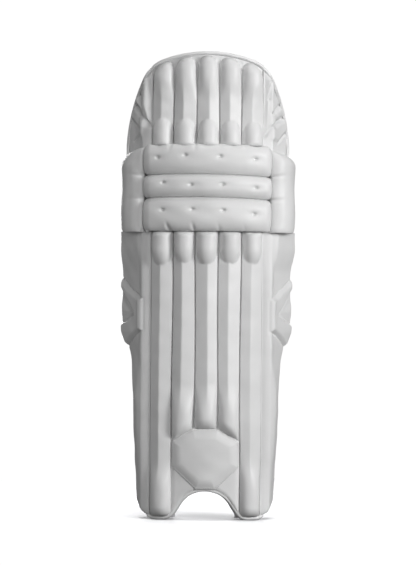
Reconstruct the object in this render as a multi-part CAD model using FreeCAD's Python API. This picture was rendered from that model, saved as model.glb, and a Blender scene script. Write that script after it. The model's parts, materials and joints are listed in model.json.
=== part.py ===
"""A cricket batting leg pad: a shin section, a knee roll and a thigh flap, with three straps.

Millimetres and degrees. +Z runs up the shin, +X across the pad, and +Y from the face towards the leg.
The origin is the middle of the pad's footprint, on the floor that it stands on.

The middle of the pad is a slab curved round an upright axis behind the leg. Whatever is sewn to that
slab is a sector of the same cylinder, so its place is a radius, an angle from the middle and a height.
The wings leave the slab's side edges, turn back in a bend and run straight to a free edge.
"""

import FreeCAD, Part
import math
import os

Vector = FreeCAD.Vector
UP = Vector(0, 0, 1)
ACROSS = Vector(1, 0, 0)
BACKWARD = Vector(0, 1, 0)
CENTRE = Vector(0, 0, 0)

# Overall sizes
SHIN_HEIGHT = 438.0
THIGH_HEIGHT = 143.0
FACE_RADIUS = 190.0
ROLL_COUNT = 5
ROLL_PITCH = 34.8
KNEE_SIDE_MARGIN = 12.5

# The slab's layers, from the face to the leg
FACING_THICKNESS = 1.5
CORE_THICKNESS = 10.0
LINING_THICKNESS = 1.2
LAYER_GAP = 0.3
COVER_THICKNESS = 1.4

# Seams between the sections, which are also the two knee bends
FLEX_ANGLE = 25.0
NOTCH_SPARE_ANGLE = 3.0
SEAM_GAP = 3.0
HINGE_CLEARANCE = 0.5

# Upright rolls and the canes in them
ROLL_HEIGHT = 18.0
ROLL_SIDE = 3.0
ROLL_SPACING = 0.8
CANE_RADIUS = 2.75
CANE_PITCH = 8.0
CANE_LIFT = 4.0
CANE_CLEARANCE = 0.2
CANES_PER_ROLL = 3
CANE_END_MARGIN = 6.0

# Level bolsters of the knee roll, from the lowest up, and their tufts
KNEE_ROW_HEIGHTS = (50.0, 35.0, 41.0)
KNEE_BOLSTER_HEIGHT = 28.0
KNEE_BOLSTER_SIDE = 12.0
TUFT_RADIUS = 1.2
TUFT_PITCH = 43.0
TUFTS_PER_ROW = 4
TUFT_HEAD_RADIUS = 2.6
TUFT_HEAD_THICKNESS = 1.2
TUFT_HEAD_DEPTH = 8.0
TUFT_CLEARANCE = 0.2

# Side bolsters of the knee roll
SIDE_BOLSTER_PROUD = 4.0
SIDE_BOLSTER_CREST = 17.0
SIDE_BOLSTER_TURN = 70.0
SIDE_BOLSTER_TAIL = 44.0
SIDE_BOLSTER_BULGE = 6.0

# Wings: the angle of the straight tail from the pad's face, and the tail's length
WING_PROUD = 6.0
WING_THICKNESS = 18.0
WING_BEND_RADIUS = 20.0
WING_COVER_THICKNESS = 1.5
WING_LINING_THICKNESS = 1.2
ANKLE_TURN, ANKLE_TAIL = 78.0, 26.0
CALF_TURN, CALF_TAIL = 62.0, 70.0
THIGH_TURN, THIGH_TAIL = 62.0, 53.0
TAPER_ABOVE_ANKLE_STRAP = 50.0
TAPER_BELOW_CALF_STRAP = 3.0

# Outline of the thigh flap: arcs from the middle outwards, as (radius, slope at the outer end)
CROWN_ARCS = ((200.0, 19.6), (50.0, 64.0), (270.0, 88.0))

# Outline of the foot: the instep arch, then a flat rest, then the outer corner
ARCH_HEIGHT = 43.5
ARCH_RADIUS = 46.0
ARCH_SLOPE = 56.0
ARCH_FOOT_RADIUS = 20.0
FOOT_FLAT = 11.5
FOOT_CORNER_RADIUS = 30.0
FOOT_CORNER_SLOPE = 80.0

# Piping along the crown and the foot
PIPING_WIDTH = 4.5
PIPING_HEIGHT = 4.5

# Eight-sided instep patch and the triangular fills beside it
PATCH_THICKNESS = 9.0
PATCH_SIDE_MARGIN = 0.5
PATCH_TOP_Z = 139.5
PATCH_UPPER_CORNER_Z = 120.0
PATCH_LOWER_CORNER_Z = 80.0
PATCH_TOP_HALF_EDGE = 19.0
PATCH_BOTTOM_HALF_EDGE = 15.0
INSTEP_FILL_THICKNESS = 4.0

# Padding on the leg side
SHIN_BOLSTER_THICKNESS = 22.0
SHIN_BOLSTER_WIDTH = 60.0
SHIN_BOLSTER_SPACING = 33.0
SHIN_BOLSTER_END_MARGIN = 18.0
ANKLE_PAD_THICKNESS = 17.0
ANKLE_PAD_WIDTH = 35.0
ANKLE_PAD_SIDE_MARGIN = 2.5
ANKLE_PAD_HEIGHT = 68.0
PAD_SPACING = 7.0
KNEE_CUP_THICKNESS = 15.0
KNEE_CUP_SIDE_MARGIN = 23.0
KNEE_CUP_END_MARGIN = 11.5
KNEE_CUP_SPACING = 2.0
KNEE_CUP_ROWS = 3
THIGH_PAD_THICKNESS = 12.0
THIGH_PAD_SIDE_MARGIN = 14.0
THIGH_PAD_LOW_MARGIN = 20.0
THIGH_PAD_CROWN_MARGIN = 16.0
LEG_SIDE_EDGE_RADIUS = 5.0

# Straps. The ankle strap is placed from the floor, the others down from the seam above them.
STRAP_WIDTH = {"knee": 60.0, "calf": 50.0, "ankle": 40.0}
STRAP_LOOP_DEPTH = {"knee": 152.0, "calf": 152.0, "ankle": 122.0}
KNEE_STRAP_DROP = 55.0
CALF_STRAP_DROP = 120.0
ANKLE_STRAP_Z = 120.0
WEBBING_THICKNESS = 2.5
TAPE_THICKNESS = 1.0
TAPE_EDGE_MARGIN = 4.0
STRAP_REACH = 24.0
TAB_REACH = 3.0
STRAP_OVERHANG = 9.0
ANCHOR_LENGTH = 34.0
STRAP_HINGE_GAP = 1.0
TAB_ROOT_LENGTH = 9.0
STRAP_PAD_THICKNESS = 7.0
STRAP_PAD_START = 24.0
STRAP_PAD_LENGTH = 88.0
STRAP_PAD_MARGIN = 3.0

# Worked out from the sizes above
LOWER_SEAM_Z = SHIN_HEIGHT
UPPER_SEAM_Z = LOWER_SEAM_Z + sum(KNEE_ROW_HEIGHTS) + SEAM_GAP
PAD_HEIGHT = UPPER_SEAM_Z + THIGH_HEIGHT
STRAP_Z = {"knee": UPPER_SEAM_Z - KNEE_STRAP_DROP, "calf": LOWER_SEAM_Z - CALF_STRAP_DROP,
           "ankle": ANKLE_STRAP_Z}
ANKLE_TOP_Z = STRAP_Z["ankle"] + STRAP_WIDTH["ankle"] / 2 + TAPER_ABOVE_ANKLE_STRAP
CALF_LOW_Z = STRAP_Z["calf"] - STRAP_WIDTH["calf"] / 2 - TAPER_BELOW_CALF_STRAP
SLAB_THICKNESS = FACING_THICKNESS + CORE_THICKNESS + LINING_THICKNESS + 2 * LAYER_GAP
FACE_Y = (KNEE_BOLSTER_HEIGHT - max(STRAP_LOOP_DEPTH.values())) / 2
WRAP_Y = FACE_Y + FACE_RADIUS
FRONT_RADIUS = FACE_RADIUS + LAYER_GAP
LEG_RADIUS = FACE_RADIUS - SLAB_THICKNESS - LAYER_GAP
ROLL_ANGLE = math.degrees(ROLL_PITCH / FACE_RADIUS)
FACE_HALF_ANGLE = ROLL_ANGLE * ROLL_COUNT / 2
INSTEP_HALF_ANGLE = ROLL_ANGLE * (ROLL_COUNT / 2 - 1)
PATCH_HALF_WIDTH = FACE_RADIUS * math.sin(math.radians(INSTEP_HALF_ANGLE)) - PATCH_SIDE_MARGIN
FACE_HALF_ARC = ROLL_PITCH * ROLL_COUNT / 2
KNEE_HALF_ARC = FACE_HALF_ARC + KNEE_SIDE_MARGIN
KNEE_HALF_ANGLE = math.degrees(KNEE_HALF_ARC / FACE_RADIUS)
GAP_ANGLE = math.degrees(LAYER_GAP / FACE_RADIUS)
WING_BACK = WING_THICKNESS - WING_PROUD
NOTCH_ANGLE = FLEX_ANGLE + NOTCH_SPARE_ANGLE
HINGE_Y = (WRAP_Y - (FACE_RADIUS - SLAB_THICKNESS) * math.cos(math.radians(KNEE_HALF_ANGLE))
           + HINGE_CLEARANCE)
SHIN_TOP_Z = LOWER_SEAM_Z - SEAM_GAP / 2
KNEE_LOW_Z = LOWER_SEAM_Z + SEAM_GAP / 2
KNEE_TOP_Z = UPPER_SEAM_Z - SEAM_GAP / 2
THIGH_LOW_Z = UPPER_SEAM_Z + SEAM_GAP / 2
ROOM = 4 * FACE_RADIUS

parts = {}


def along(angle):
    """Unit vector at an angle from +X towards +Y."""
    return Vector(math.cos(math.radians(angle)), math.sin(math.radians(angle)), 0)


def outward(angle):
    """Unit vector out of the pad's surface, where that surface has turned by an angle from the face."""
    return Vector(math.sin(math.radians(angle)), -math.cos(math.radians(angle)), 0)


def face_angle(arc_length):
    """Angle round the pad's axis for a length along the face."""
    return math.degrees(arc_length / FACE_RADIUS)


def wrapped(radius, angle, z=0.0):
    """Point at a radius and angle round the pad's upright axis."""
    return Vector(0, WRAP_Y, z) + outward(angle) * radius


def arc(start, middle, end):
    return Part.Arc(start, middle, end).toShape()


def polygon(points):
    return Part.makePolygon(list(points) + [points[0]])


def prism(edges, direction):
    return Part.Face(Part.Wire(edges)).extrude(direction)


def mirrored(shape):
    return shape.mirror(CENTRE, ACROSS)


def both_sides(shape):
    return [shape, mirrored(shape)]


# Outlines seen from the front, as tall prisms that everything under them is cut with


def chain_of_arcs(x, z, arcs):
    """Edges of tangent arcs that start level at (x, z) and bend down, and the last point."""
    edges = []
    slope = 0.0
    for radius, end_slope in arcs:
        centre = Vector(x - radius * math.sin(math.radians(slope)), 0,
                        z - radius * math.cos(math.radians(slope)))
        points = [centre + Vector(math.sin(math.radians(a)), 0, math.cos(math.radians(a))) * radius
                  for a in (slope, (slope + end_slope) / 2, end_slope)]
        edges.append(arc(*points))
        x, z, slope = points[2].x, points[2].z, end_slope
    return edges, points[2]


def outline_prism(edges, corners):
    """Tall prism of a right-hand outline, closed through corners, together with its mirror image."""
    closing = [Part.makeLine(a, b) for a, b in zip(corners, corners[1:])]
    half = prism(edges + closing, BACKWARD * 2 * ROOM)
    half.translate(BACKWARD * -ROOM)
    return half.fuse(mirrored(half)).removeSplitter()


def crown_prism(inset=0.0):
    """Everything inside the thigh flap's outline, less an inset."""
    start = Vector(0, 0, PAD_HEIGHT - inset)
    edges, end = chain_of_arcs(0, start.z, [(radius - inset, slope) for radius, slope in CROWN_ARCS])
    return outline_prism(edges, [end, Vector(end.x, 0, 0), CENTRE, start])


def foot_arc(centre, radius, first, last):
    """Arc under a centre, between two slopes, drawn from the lower x to the higher."""
    points = [centre + Vector(math.sin(math.radians(a)), 0, -math.cos(math.radians(a))) * radius
              for a in (first, (first + last) / 2, last)]
    return arc(*points), points[2]


def foot_prism(inset=0.0):
    """Everything above the foot's outline, raised and narrowed by an inset."""
    sine, cosine = math.sin(math.radians(ARCH_SLOPE)), math.cos(math.radians(ARCH_SLOPE))
    start = Vector(0, 0, ARCH_HEIGHT + inset)
    edges, arch_end = chain_of_arcs(0, start.z, [(ARCH_RADIUS + inset, ARCH_SLOPE)])
    drop = ARCH_HEIGHT - (ARCH_RADIUS + ARCH_FOOT_RADIUS) * (1 - cosine)
    foot_start = arch_end + Vector(drop * cosine / sine, 0, -drop)
    foot_radius = ARCH_FOOT_RADIUS - inset
    foot_centre = foot_start + Vector(sine, 0, cosine) * foot_radius
    inner_arc, rest_start = foot_arc(foot_centre, foot_radius, -ARCH_SLOPE, 0)
    rest_end = rest_start + ACROSS * FOOT_FLAT
    corner_radius = FOOT_CORNER_RADIUS - inset
    outer_arc, end = foot_arc(rest_end + UP * corner_radius, corner_radius, 0, FOOT_CORNER_SLOPE)
    edges += [Part.makeLine(arch_end, foot_start), inner_arc, Part.makeLine(rest_start, rest_end), outer_arc]
    corners = [end, Vector(ROOM, 0, end.z), Vector(ROOM, 0, PAD_HEIGHT), Vector(0, 0, PAD_HEIGHT), start]
    return outline_prism(edges, corners)


def patch_prism(inset=0.0):
    """The eight-sided instep patch, seen from the front."""
    half = PATCH_HALF_WIDTH - inset
    top = PATCH_TOP_HALF_EDGE - inset / 2
    bottom = PATCH_BOTTOM_HALF_EDGE - inset / 2
    right = [(bottom, 0), (bottom, ARCH_HEIGHT + inset), (half, PATCH_LOWER_CORNER_Z + inset / 2),
             (half, PATCH_UPPER_CORNER_Z - inset / 2), (top, PATCH_TOP_Z - inset)]
    outline = right + [(-x, z) for x, z in reversed(right)]
    wire = polygon([Vector(x, -ROOM, z) for x, z in outline])
    return Part.Face(wire).extrude(BACKWARD * 2 * ROOM)


# Spaces of the three sections, seen from the side. The wings are notched behind each bend.


def side_prism(points):
    wire = polygon([Vector(-ROOM, y, z) for y, z in points])
    return Part.Face(wire).extrude(ACROSS * 2 * ROOM)


def level_space(low, high):
    return side_prism([(-ROOM, low), (ROOM, low), (ROOM, high), (-ROOM, high)])


def notch_drop(y):
    return (y - HINGE_Y) * math.tan(math.radians(NOTCH_ANGLE))


def shin_space():
    return side_prism([(-ROOM, -ROOM), (ROOM, -ROOM), (ROOM, SHIN_TOP_Z - notch_drop(ROOM)),
                       (HINGE_Y, SHIN_TOP_Z), (-ROOM, SHIN_TOP_Z)])


def thigh_space():
    return side_prism([(-ROOM, THIGH_LOW_Z), (HINGE_Y, THIGH_LOW_Z),
                       (ROOM, THIGH_LOW_Z + notch_drop(ROOM)),
                       (ROOM, 2 * PAD_HEIGHT), (-ROOM, 2 * PAD_HEIGHT)])


def lower_bend_space():
    low, high = SHIN_TOP_Z + LAYER_GAP, KNEE_LOW_Z - LAYER_GAP
    return side_prism([(-ROOM, low), (HINGE_Y, low), (ROOM, low - notch_drop(ROOM)),
                       (ROOM, high), (-ROOM, high)])


def upper_bend_space():
    low, high = KNEE_TOP_Z + LAYER_GAP, THIGH_LOW_Z - LAYER_GAP
    return side_prism([(-ROOM, low), (ROOM, low), (ROOM, high + notch_drop(ROOM)),
                       (HINGE_Y, high), (-ROOM, high)])


# Shapes that wrap round the pad's axis


def sector(inner, outer, first, last, low, high):
    """Curved slab between two radii, two angles and two heights."""
    middle = (first + last) / 2
    edges = [arc(*[wrapped(outer, a, low) for a in (first, middle, last)]),
             Part.makeLine(wrapped(outer, last, low), wrapped(inner, last, low)),
             arc(*[wrapped(inner, a, low) for a in (last, middle, first)]),
             Part.makeLine(wrapped(inner, first, low), wrapped(outer, first, low))]
    return prism(edges, UP * (high - low))


def upright_roll(base, side, crest, middle, half, low, high):
    """Upright roll on a base radius: straight sides, then an arc over a crest. Angles are degrees."""
    first, last = middle - half, middle + half
    edges = [arc(*[wrapped(base, a, low) for a in (first, middle, last)]),
             Part.makeLine(wrapped(base, last, low), wrapped(side, last, low)),
             arc(wrapped(side, last, low), wrapped(crest, middle, low), wrapped(side, first, low)),
             Part.makeLine(wrapped(side, first, low), wrapped(base, first, low))]
    return prism(edges, UP * (high - low))


def level_roll(base, side, crest, low, high, half):
    """Level roll on a base radius, wrapped round the pad for an angle each way."""
    profile = [Vector(0, WRAP_Y - r, z) for r, z in
               ((base, low), (side, low), (crest, (low + high) / 2), (side, high), (base, high))]
    edges = [Part.makeLine(profile[0], profile[1]), arc(*profile[1:4]),
             Part.makeLine(profile[3], profile[4]), Part.makeLine(profile[4], profile[0])]
    face = Part.Face(Part.Wire(edges))
    face.rotate(Vector(0, WRAP_Y, 0), UP, -half)
    return face.revolve(Vector(0, WRAP_Y, 0), UP, 2 * half)


def slab_layers(name, half_angle, low, high, space):
    """Facing, foam core and lining of one section."""
    depth = 0.0
    for layer, thickness in (("facing", FACING_THICKNESS), ("core", CORE_THICKNESS),
                             ("lining", LINING_THICKNESS)):
        outer = FACE_RADIUS - depth
        slab = sector(outer - thickness, outer, -half_angle, half_angle, low, high)
        parts[name + "_" + layer] = slab.common(space)
        depth += thickness + LAYER_GAP


# Upright rolls of the shin section and the thigh flap


def roll_shape(index, inset, low, high, open_back=False):
    """One roll's outer shape, or the space inside its cover when inset."""
    middle = (index - (ROLL_COUNT - 1) / 2) * ROLL_ANGLE
    half = math.degrees((ROLL_PITCH / 2 - ROLL_SPACING / 2 - inset) / FRONT_RADIUS)
    base = FRONT_RADIUS - (COVER_THICKNESS if open_back else 0.0)
    return upright_roll(base, FRONT_RADIUS + ROLL_SIDE, FACE_RADIUS + ROLL_HEIGHT - inset,
                        middle, half, low + inset, high - inset)


def cane(index, place, radius, low, high):
    """One cane: place counts the canes of a roll from its left."""
    middle = (index - (ROLL_COUNT - 1) / 2) * ROLL_ANGLE
    shift = (place - (CANES_PER_ROLL - 1) / 2) * CANE_PITCH
    angle = middle + math.degrees(shift / FRONT_RADIUS)
    foot = wrapped(FRONT_RADIUS + CANE_LIFT, angle, low)
    return Part.makeCylinder(radius, high - low, foot)


def upright_rolls(name, low, high, outline):
    """Roll covers, their filling and canes. outline(i, inset) is the shape that ends roll i."""
    fillings = []
    canes = []
    for index in range(ROLL_COUNT):
        room = roll_shape(index, COVER_THICKNESS, low, high, open_back=True)
        cover = roll_shape(index, 0.0, low, high).common(outline(index, 0.0))
        parts[f"{name}_roll_{index + 1}"] = cover.cut(room.common(outline(index, COVER_THICKNESS)))
        inner = COVER_THICKNESS + LAYER_GAP
        filling = roll_shape(index, inner, low, high).common(outline(index, inner))
        inside = outline(index, inner + CANE_END_MARGIN)
        for place in range(CANES_PER_ROLL):
            ends = (low + inner + CANE_END_MARGIN, high - inner - CANE_END_MARGIN)
            rod = cane(index, place, CANE_RADIUS, *ends).common(inside)
            bore = cane(index, place, CANE_RADIUS + CANE_CLEARANCE, low, high)
            canes.append(rod)
            filling = filling.cut(bore)
        fillings.append(filling)
    parts[name + "_roll_filling"] = Part.makeCompound(fillings)
    parts[name + "_canes"] = Part.makeCompound(canes)


def shin_roll_outline(index, inset):
    """The outer rolls run down to the foot, and the ones between stop at the instep patch."""
    shape = foot_prism(PIPING_WIDTH + LAYER_GAP + inset)
    if 0 < index < ROLL_COUNT - 1:
        shape = shape.cut(patch_prism(-LAYER_GAP - inset))
        shape = shape.cut(Part.makeBox(2 * ROOM, 2 * ROOM, PATCH_UPPER_CORNER_Z + ROOM,
                                       Vector(-ROOM, -ROOM, -ROOM)))
    return shape


def thigh_roll_outline(_index, inset):
    return crown_prism(PIPING_WIDTH + LAYER_GAP + inset)


# Wings


def bend_point(front, turn, z):
    """Point on the wing's bend, at a distance in front of the facing's line."""
    edge = wrapped(FACE_RADIUS, FACE_HALF_ANGLE + GAP_ANGLE, z)
    centre = edge - outward(FACE_HALF_ANGLE + GAP_ANGLE) * WING_BEND_RADIUS
    return centre + outward(turn) * (WING_BEND_RADIUS + front)


def tail_point(front, turn, tail, z):
    return bend_point(front, turn, z) + along(turn) * tail


def wing_section(turn, tail, front, back, z):
    """Closed outline of the right wing at one height, between two distances from the facing's line."""
    root = FACE_HALF_ANGLE + GAP_ANGLE
    middle = (root + turn) / 2
    return Part.Wire([
        arc(*[bend_point(front, a, z) for a in (root, middle, turn)]),
        Part.makeLine(bend_point(front, turn, z), tail_point(front, turn, tail, z)),
        Part.makeLine(tail_point(front, turn, tail, z), tail_point(back, turn, tail, z)),
        Part.makeLine(tail_point(back, turn, tail, z), bend_point(back, turn, z)),
        arc(*[bend_point(back, a, z) for a in (turn, middle, root)]),
        Part.makeLine(bend_point(back, root, z), bend_point(front, root, z)),
    ])


def shin_wing_loft(front, back, low=0.0, high=LOWER_SEAM_Z):
    """Right shin wing: narrow at the ankle, deep at the calf."""
    stations = [(low, ANKLE_TURN, ANKLE_TAIL), (ANKLE_TOP_Z, ANKLE_TURN, ANKLE_TAIL),
                (CALF_LOW_Z, CALF_TURN, CALF_TAIL), (high, CALF_TURN, CALF_TAIL)]
    wires = [wing_section(turn, tail, front, back, z) for z, turn, tail in stations]
    return Part.makeLoft(wires, True, True)


def thigh_wing_prism(front, back):
    wire = wing_section(THIGH_TURN, THIGH_TAIL, front, back, UPPER_SEAM_Z)
    return Part.Face(wire).extrude(UP * (PAD_HEIGHT - UPPER_SEAM_Z))


def wing_layers(name, shape_between, space):
    """Foam of each wing and the covers of both. Their linings join the slab's lining.

    shape_between(front, back) is one layer of the right wing.
    """
    foam_front = WING_PROUD - WING_COVER_THICKNESS - LAYER_GAP
    foam_back = WING_LINING_THICKNESS + LAYER_GAP - WING_BACK
    foam = shape_between(foam_front, foam_back).common(space)
    cover = shape_between(WING_PROUD, foam_front + LAYER_GAP).common(space)
    lining = shape_between(foam_back - LAYER_GAP, -WING_BACK).common(space)
    parts[name + "_wing_right"] = foam
    parts[name + "_wing_left"] = mirrored(foam)
    parts[name + "_wing_covers"] = Part.makeCompound(both_sides(cover))
    parts[name + "_lining"] = Part.makeCompound([parts[name + "_lining"]] + both_sides(lining))


def piping(centre, wing, outer, inner):
    """Edge cord: a strip between two outlines, on the slab's face and on both wings."""
    strips = [centre] + both_sides(wing)
    return Part.makeCompound([strip.common(outer).cut(inner) for strip in strips])


def shin_section():
    slab_layers("shin", FACE_HALF_ANGLE, 0.0, SHIN_TOP_Z, foot_prism())
    upright_rolls("shin", 0.0, SHIN_TOP_Z, shin_roll_outline)
    wing_layers("shin", shin_wing_loft, foot_prism().common(shin_space()))
    strip = sector(FRONT_RADIUS, FRONT_RADIUS + PIPING_HEIGHT, -FACE_HALF_ANGLE, FACE_HALF_ANGLE,
                   0.0, ARCH_HEIGHT + 2 * PIPING_WIDTH)
    edge = WING_PROUD + LAYER_GAP
    corner_height = FOOT_CORNER_RADIUS * (1 - math.cos(math.radians(FOOT_CORNER_SLOPE)))
    wing_strip = shin_wing_loft(edge + PIPING_HEIGHT, edge)
    corner_strip = wing_strip.common(level_space(0.0, corner_height))
    parts["shin_piping"] = piping(strip, corner_strip, foot_prism(), foot_prism(PIPING_WIDTH))


def instep():
    """Padded eight-sided patch over the instep, and the flat fills between it and the outer rolls."""
    half = INSTEP_HALF_ANGLE - GAP_ANGLE
    foot = foot_prism(PIPING_WIDTH + LAYER_GAP)
    top = FRONT_RADIUS + PATCH_THICKNESS
    block = sector(FRONT_RADIUS, top, -half, half, 0.0, PATCH_TOP_Z).common(foot)
    parts["instep_patch"] = block.common(patch_prism())
    fill = sector(FRONT_RADIUS, FRONT_RADIUS + INSTEP_FILL_THICKNESS, -half, half,
                  0.0, PATCH_UPPER_CORNER_Z)
    parts["instep_fills"] = fill.common(foot).cut(patch_prism(-LAYER_GAP))


def leg_side_roll(thickness, first_arc, last_arc, low, high):
    """Upright bolster on the leg side of the lining, with its two long free edges rounded."""
    shape = sector(LEG_RADIUS - thickness, LEG_RADIUS, face_angle(first_arc), face_angle(last_arc),
                   low, high)
    rounded = [e for e in shape.Edges if abs(e.tangentAt(e.FirstParameter).z) > 0.99
               and (e.Vertexes[0].Point - Vector(0, WRAP_Y, e.Vertexes[0].Z)).Length
               < LEG_RADIUS - thickness / 2]
    return shape.makeFillet(min(LEG_SIDE_EDGE_RADIUS, thickness / 3), rounded)


def shin_leg_side():
    inner = SHIN_BOLSTER_SPACING / 2
    bolster = leg_side_roll(SHIN_BOLSTER_THICKNESS, inner, inner + SHIN_BOLSTER_WIDTH,
                            ANKLE_PAD_HEIGHT + PAD_SPACING, SHIN_TOP_Z - SHIN_BOLSTER_END_MARGIN)
    parts["shin_bolsters"] = Part.makeCompound(both_sides(bolster))
    outer = FACE_HALF_ARC - ANKLE_PAD_SIDE_MARGIN
    pad = leg_side_roll(ANKLE_PAD_THICKNESS, outer - ANKLE_PAD_WIDTH, outer, 0.0, ANKLE_PAD_HEIGHT)
    parts["ankle_pads"] = Part.makeCompound(both_sides(pad.common(foot_prism())))


# Knee roll


def knee_rows():
    """Lowest and highest point of each level bolster, from the bottom up."""
    rows = []
    low = KNEE_LOW_Z
    for height in KNEE_ROW_HEIGHTS:
        rows.append((low, low + height))
        low += height
    return rows


def tuft_points():
    """Angle and height of each tuft."""
    shifts = [(i - (TUFTS_PER_ROW - 1) / 2) * TUFT_PITCH for i in range(TUFTS_PER_ROW)]
    return [(math.degrees(shift / FACE_RADIUS), (low + high) / 2)
            for low, high in knee_rows() for shift in shifts]


def tuft_rod(radius, inner, outer, angle, z):
    return Part.makeCylinder(radius, outer - inner, wrapped(inner, angle, z), outward(angle))


def tuft_holes(crest, head_seat):
    """Holes for the stitched tufts, each with a wider seat for its head."""
    inner = FACE_RADIUS - COVER_THICKNESS
    outer = crest + LAYER_GAP
    stems = [tuft_rod(TUFT_RADIUS + TUFT_CLEARANCE, inner, outer, a, z) for a, z in tuft_points()]
    seats = [tuft_rod(TUFT_HEAD_RADIUS + TUFT_CLEARANCE, head_seat, outer, a, z) for a, z in tuft_points()]
    return Part.makeCompound(stems + seats)


def knee_bolsters():
    """Three level bolsters, each a cover round its filling, pulled in by rows of tufts."""
    crest = FACE_RADIUS + KNEE_BOLSTER_HEIGHT
    side = FRONT_RADIUS + KNEE_BOLSTER_SIDE
    head_seat = crest - TUFT_HEAD_DEPTH
    holes = tuft_holes(crest, head_seat)
    shell = COVER_THICKNESS
    inner = shell + LAYER_GAP
    half = KNEE_HALF_ANGLE - GAP_ANGLE
    shell_half = half - face_angle(shell)
    fillings = []
    for name, (low, high) in zip(("lower", "middle", "upper"), knee_rows()):
        low, high = low + LAYER_GAP / 2, high - LAYER_GAP / 2
        cover = level_roll(FRONT_RADIUS, side, crest, low, high, half)
        room = level_roll(FRONT_RADIUS - shell, side - shell / 2, crest - shell,
                          low + shell, high - shell, shell_half)
        filling = level_roll(FRONT_RADIUS, side - shell / 2, crest - inner,
                             low + inner, high - inner, shell_half - GAP_ANGLE)
        parts["knee_bolster_" + name] = cover.cut(room).cut(holes)
        fillings.append(filling.cut(holes))
    parts["knee_bolster_filling"] = Part.makeCompound(fillings)
    seat = head_seat + LAYER_GAP
    tufts = [tuft_rod(TUFT_RADIUS, FRONT_RADIUS, seat, a, z).fuse(
        tuft_rod(TUFT_HEAD_RADIUS, seat, seat + TUFT_HEAD_THICKNESS, a, z)) for a, z in tuft_points()]
    parts["knee_tufts"] = Part.makeCompound(tufts)


def knee_wing_bend(front, turn):
    """Point on the side bolster's bend, at a distance in front of the facing's line."""
    root = KNEE_HALF_ANGLE + GAP_ANGLE
    centre = wrapped(FACE_RADIUS, root) - outward(root) * WING_BEND_RADIUS
    return centre + outward(turn) * (WING_BEND_RADIUS + front)


def side_bolster():
    """Right-hand side bolster: fat beside the level bolsters, thin at its free edge."""
    root = KNEE_HALF_ANGLE + GAP_ANGLE
    turn = SIDE_BOLSTER_TURN
    middle = (root + turn) / 2
    tail = along(turn) * SIDE_BOLSTER_TAIL
    front_root = knee_wing_bend(SIDE_BOLSTER_PROUD, root)
    back_root = knee_wing_bend(-WING_BACK, root)
    shoulder = knee_wing_bend(SIDE_BOLSTER_CREST, turn)
    free_front = knee_wing_bend(WING_PROUD, turn) + tail
    free_back = knee_wing_bend(-WING_BACK, turn) + tail
    bulge = (shoulder + free_front) / 2 + outward(turn) * SIDE_BOLSTER_BULGE
    edges = [arc(front_root, knee_wing_bend(SIDE_BOLSTER_CREST, middle), shoulder),
             arc(shoulder, bulge, free_front),
             Part.makeLine(free_front, free_back),
             Part.makeLine(free_back, free_back - tail),
             arc(free_back - tail, knee_wing_bend(-WING_BACK, middle), back_root),
             Part.makeLine(back_root, front_root)]
    shape = prism(edges, UP * (KNEE_TOP_Z - KNEE_LOW_Z))
    shape.translate(UP * KNEE_LOW_Z)
    return shape


def knee_cup():
    """Level bolsters on the leg side that locate the kneecap."""
    lowest = KNEE_LOW_Z + KNEE_CUP_END_MARGIN
    step = (KNEE_TOP_Z - KNEE_CUP_END_MARGIN - lowest + KNEE_CUP_SPACING) / KNEE_CUP_ROWS
    half = face_angle(KNEE_HALF_ARC - KNEE_CUP_SIDE_MARGIN)
    rows = []
    for row in range(KNEE_CUP_ROWS):
        low = lowest + row * step
        rows.append(level_roll(LEG_RADIUS, LEG_RADIUS - KNEE_CUP_THICKNESS / 2,
                               LEG_RADIUS - KNEE_CUP_THICKNESS, low, low + step - KNEE_CUP_SPACING, half))
    return Part.makeCompound(rows)


def knee_section():
    slab_layers("knee", KNEE_HALF_ANGLE, KNEE_LOW_Z, KNEE_TOP_Z, level_space(KNEE_LOW_Z, KNEE_TOP_Z))
    knee_bolsters()
    parts["knee_side_bolster_right"] = side_bolster()
    parts["knee_side_bolster_left"] = mirrored(side_bolster())
    parts["knee_cup_bolsters"] = knee_cup()


# Thigh flap


def thigh_section():
    crown = crown_prism()
    slab_layers("thigh", FACE_HALF_ANGLE, THIGH_LOW_Z, PAD_HEIGHT, crown)
    upright_rolls("thigh", THIGH_LOW_Z, PAD_HEIGHT, thigh_roll_outline)
    wing_layers("thigh", thigh_wing_prism, crown.common(thigh_space()))
    strip = sector(FRONT_RADIUS, FRONT_RADIUS + PIPING_HEIGHT, -FACE_HALF_ANGLE, FACE_HALF_ANGLE,
                   THIGH_LOW_Z, PAD_HEIGHT)
    edge = WING_PROUD + LAYER_GAP
    wing_strip = thigh_wing_prism(edge + PIPING_HEIGHT, edge).common(thigh_space())
    parts["thigh_piping"] = piping(strip, wing_strip, crown, crown_prism(PIPING_WIDTH))
    half = face_angle(FACE_HALF_ARC - THIGH_PAD_SIDE_MARGIN)
    pad = sector(LEG_RADIUS - THIGH_PAD_THICKNESS, LEG_RADIUS, -half, half,
                 THIGH_LOW_Z + THIGH_PAD_LOW_MARGIN, PAD_HEIGHT)
    parts["thigh_pad"] = pad.common(crown_prism(THIGH_PAD_CROWN_MARGIN))


# Soft links across the two bends


def bend_link(low, high, space, wing):
    """Web across the slab and a soft wedge in each wing's notch."""
    depth = FACING_THICKNESS + LAYER_GAP
    web = sector(FACE_RADIUS - depth - CORE_THICKNESS, FACE_RADIUS - depth,
                 -FACE_HALF_ANGLE, FACE_HALF_ANGLE, low, high)
    return Part.makeCompound([web] + both_sides(wing.common(space)))


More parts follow.
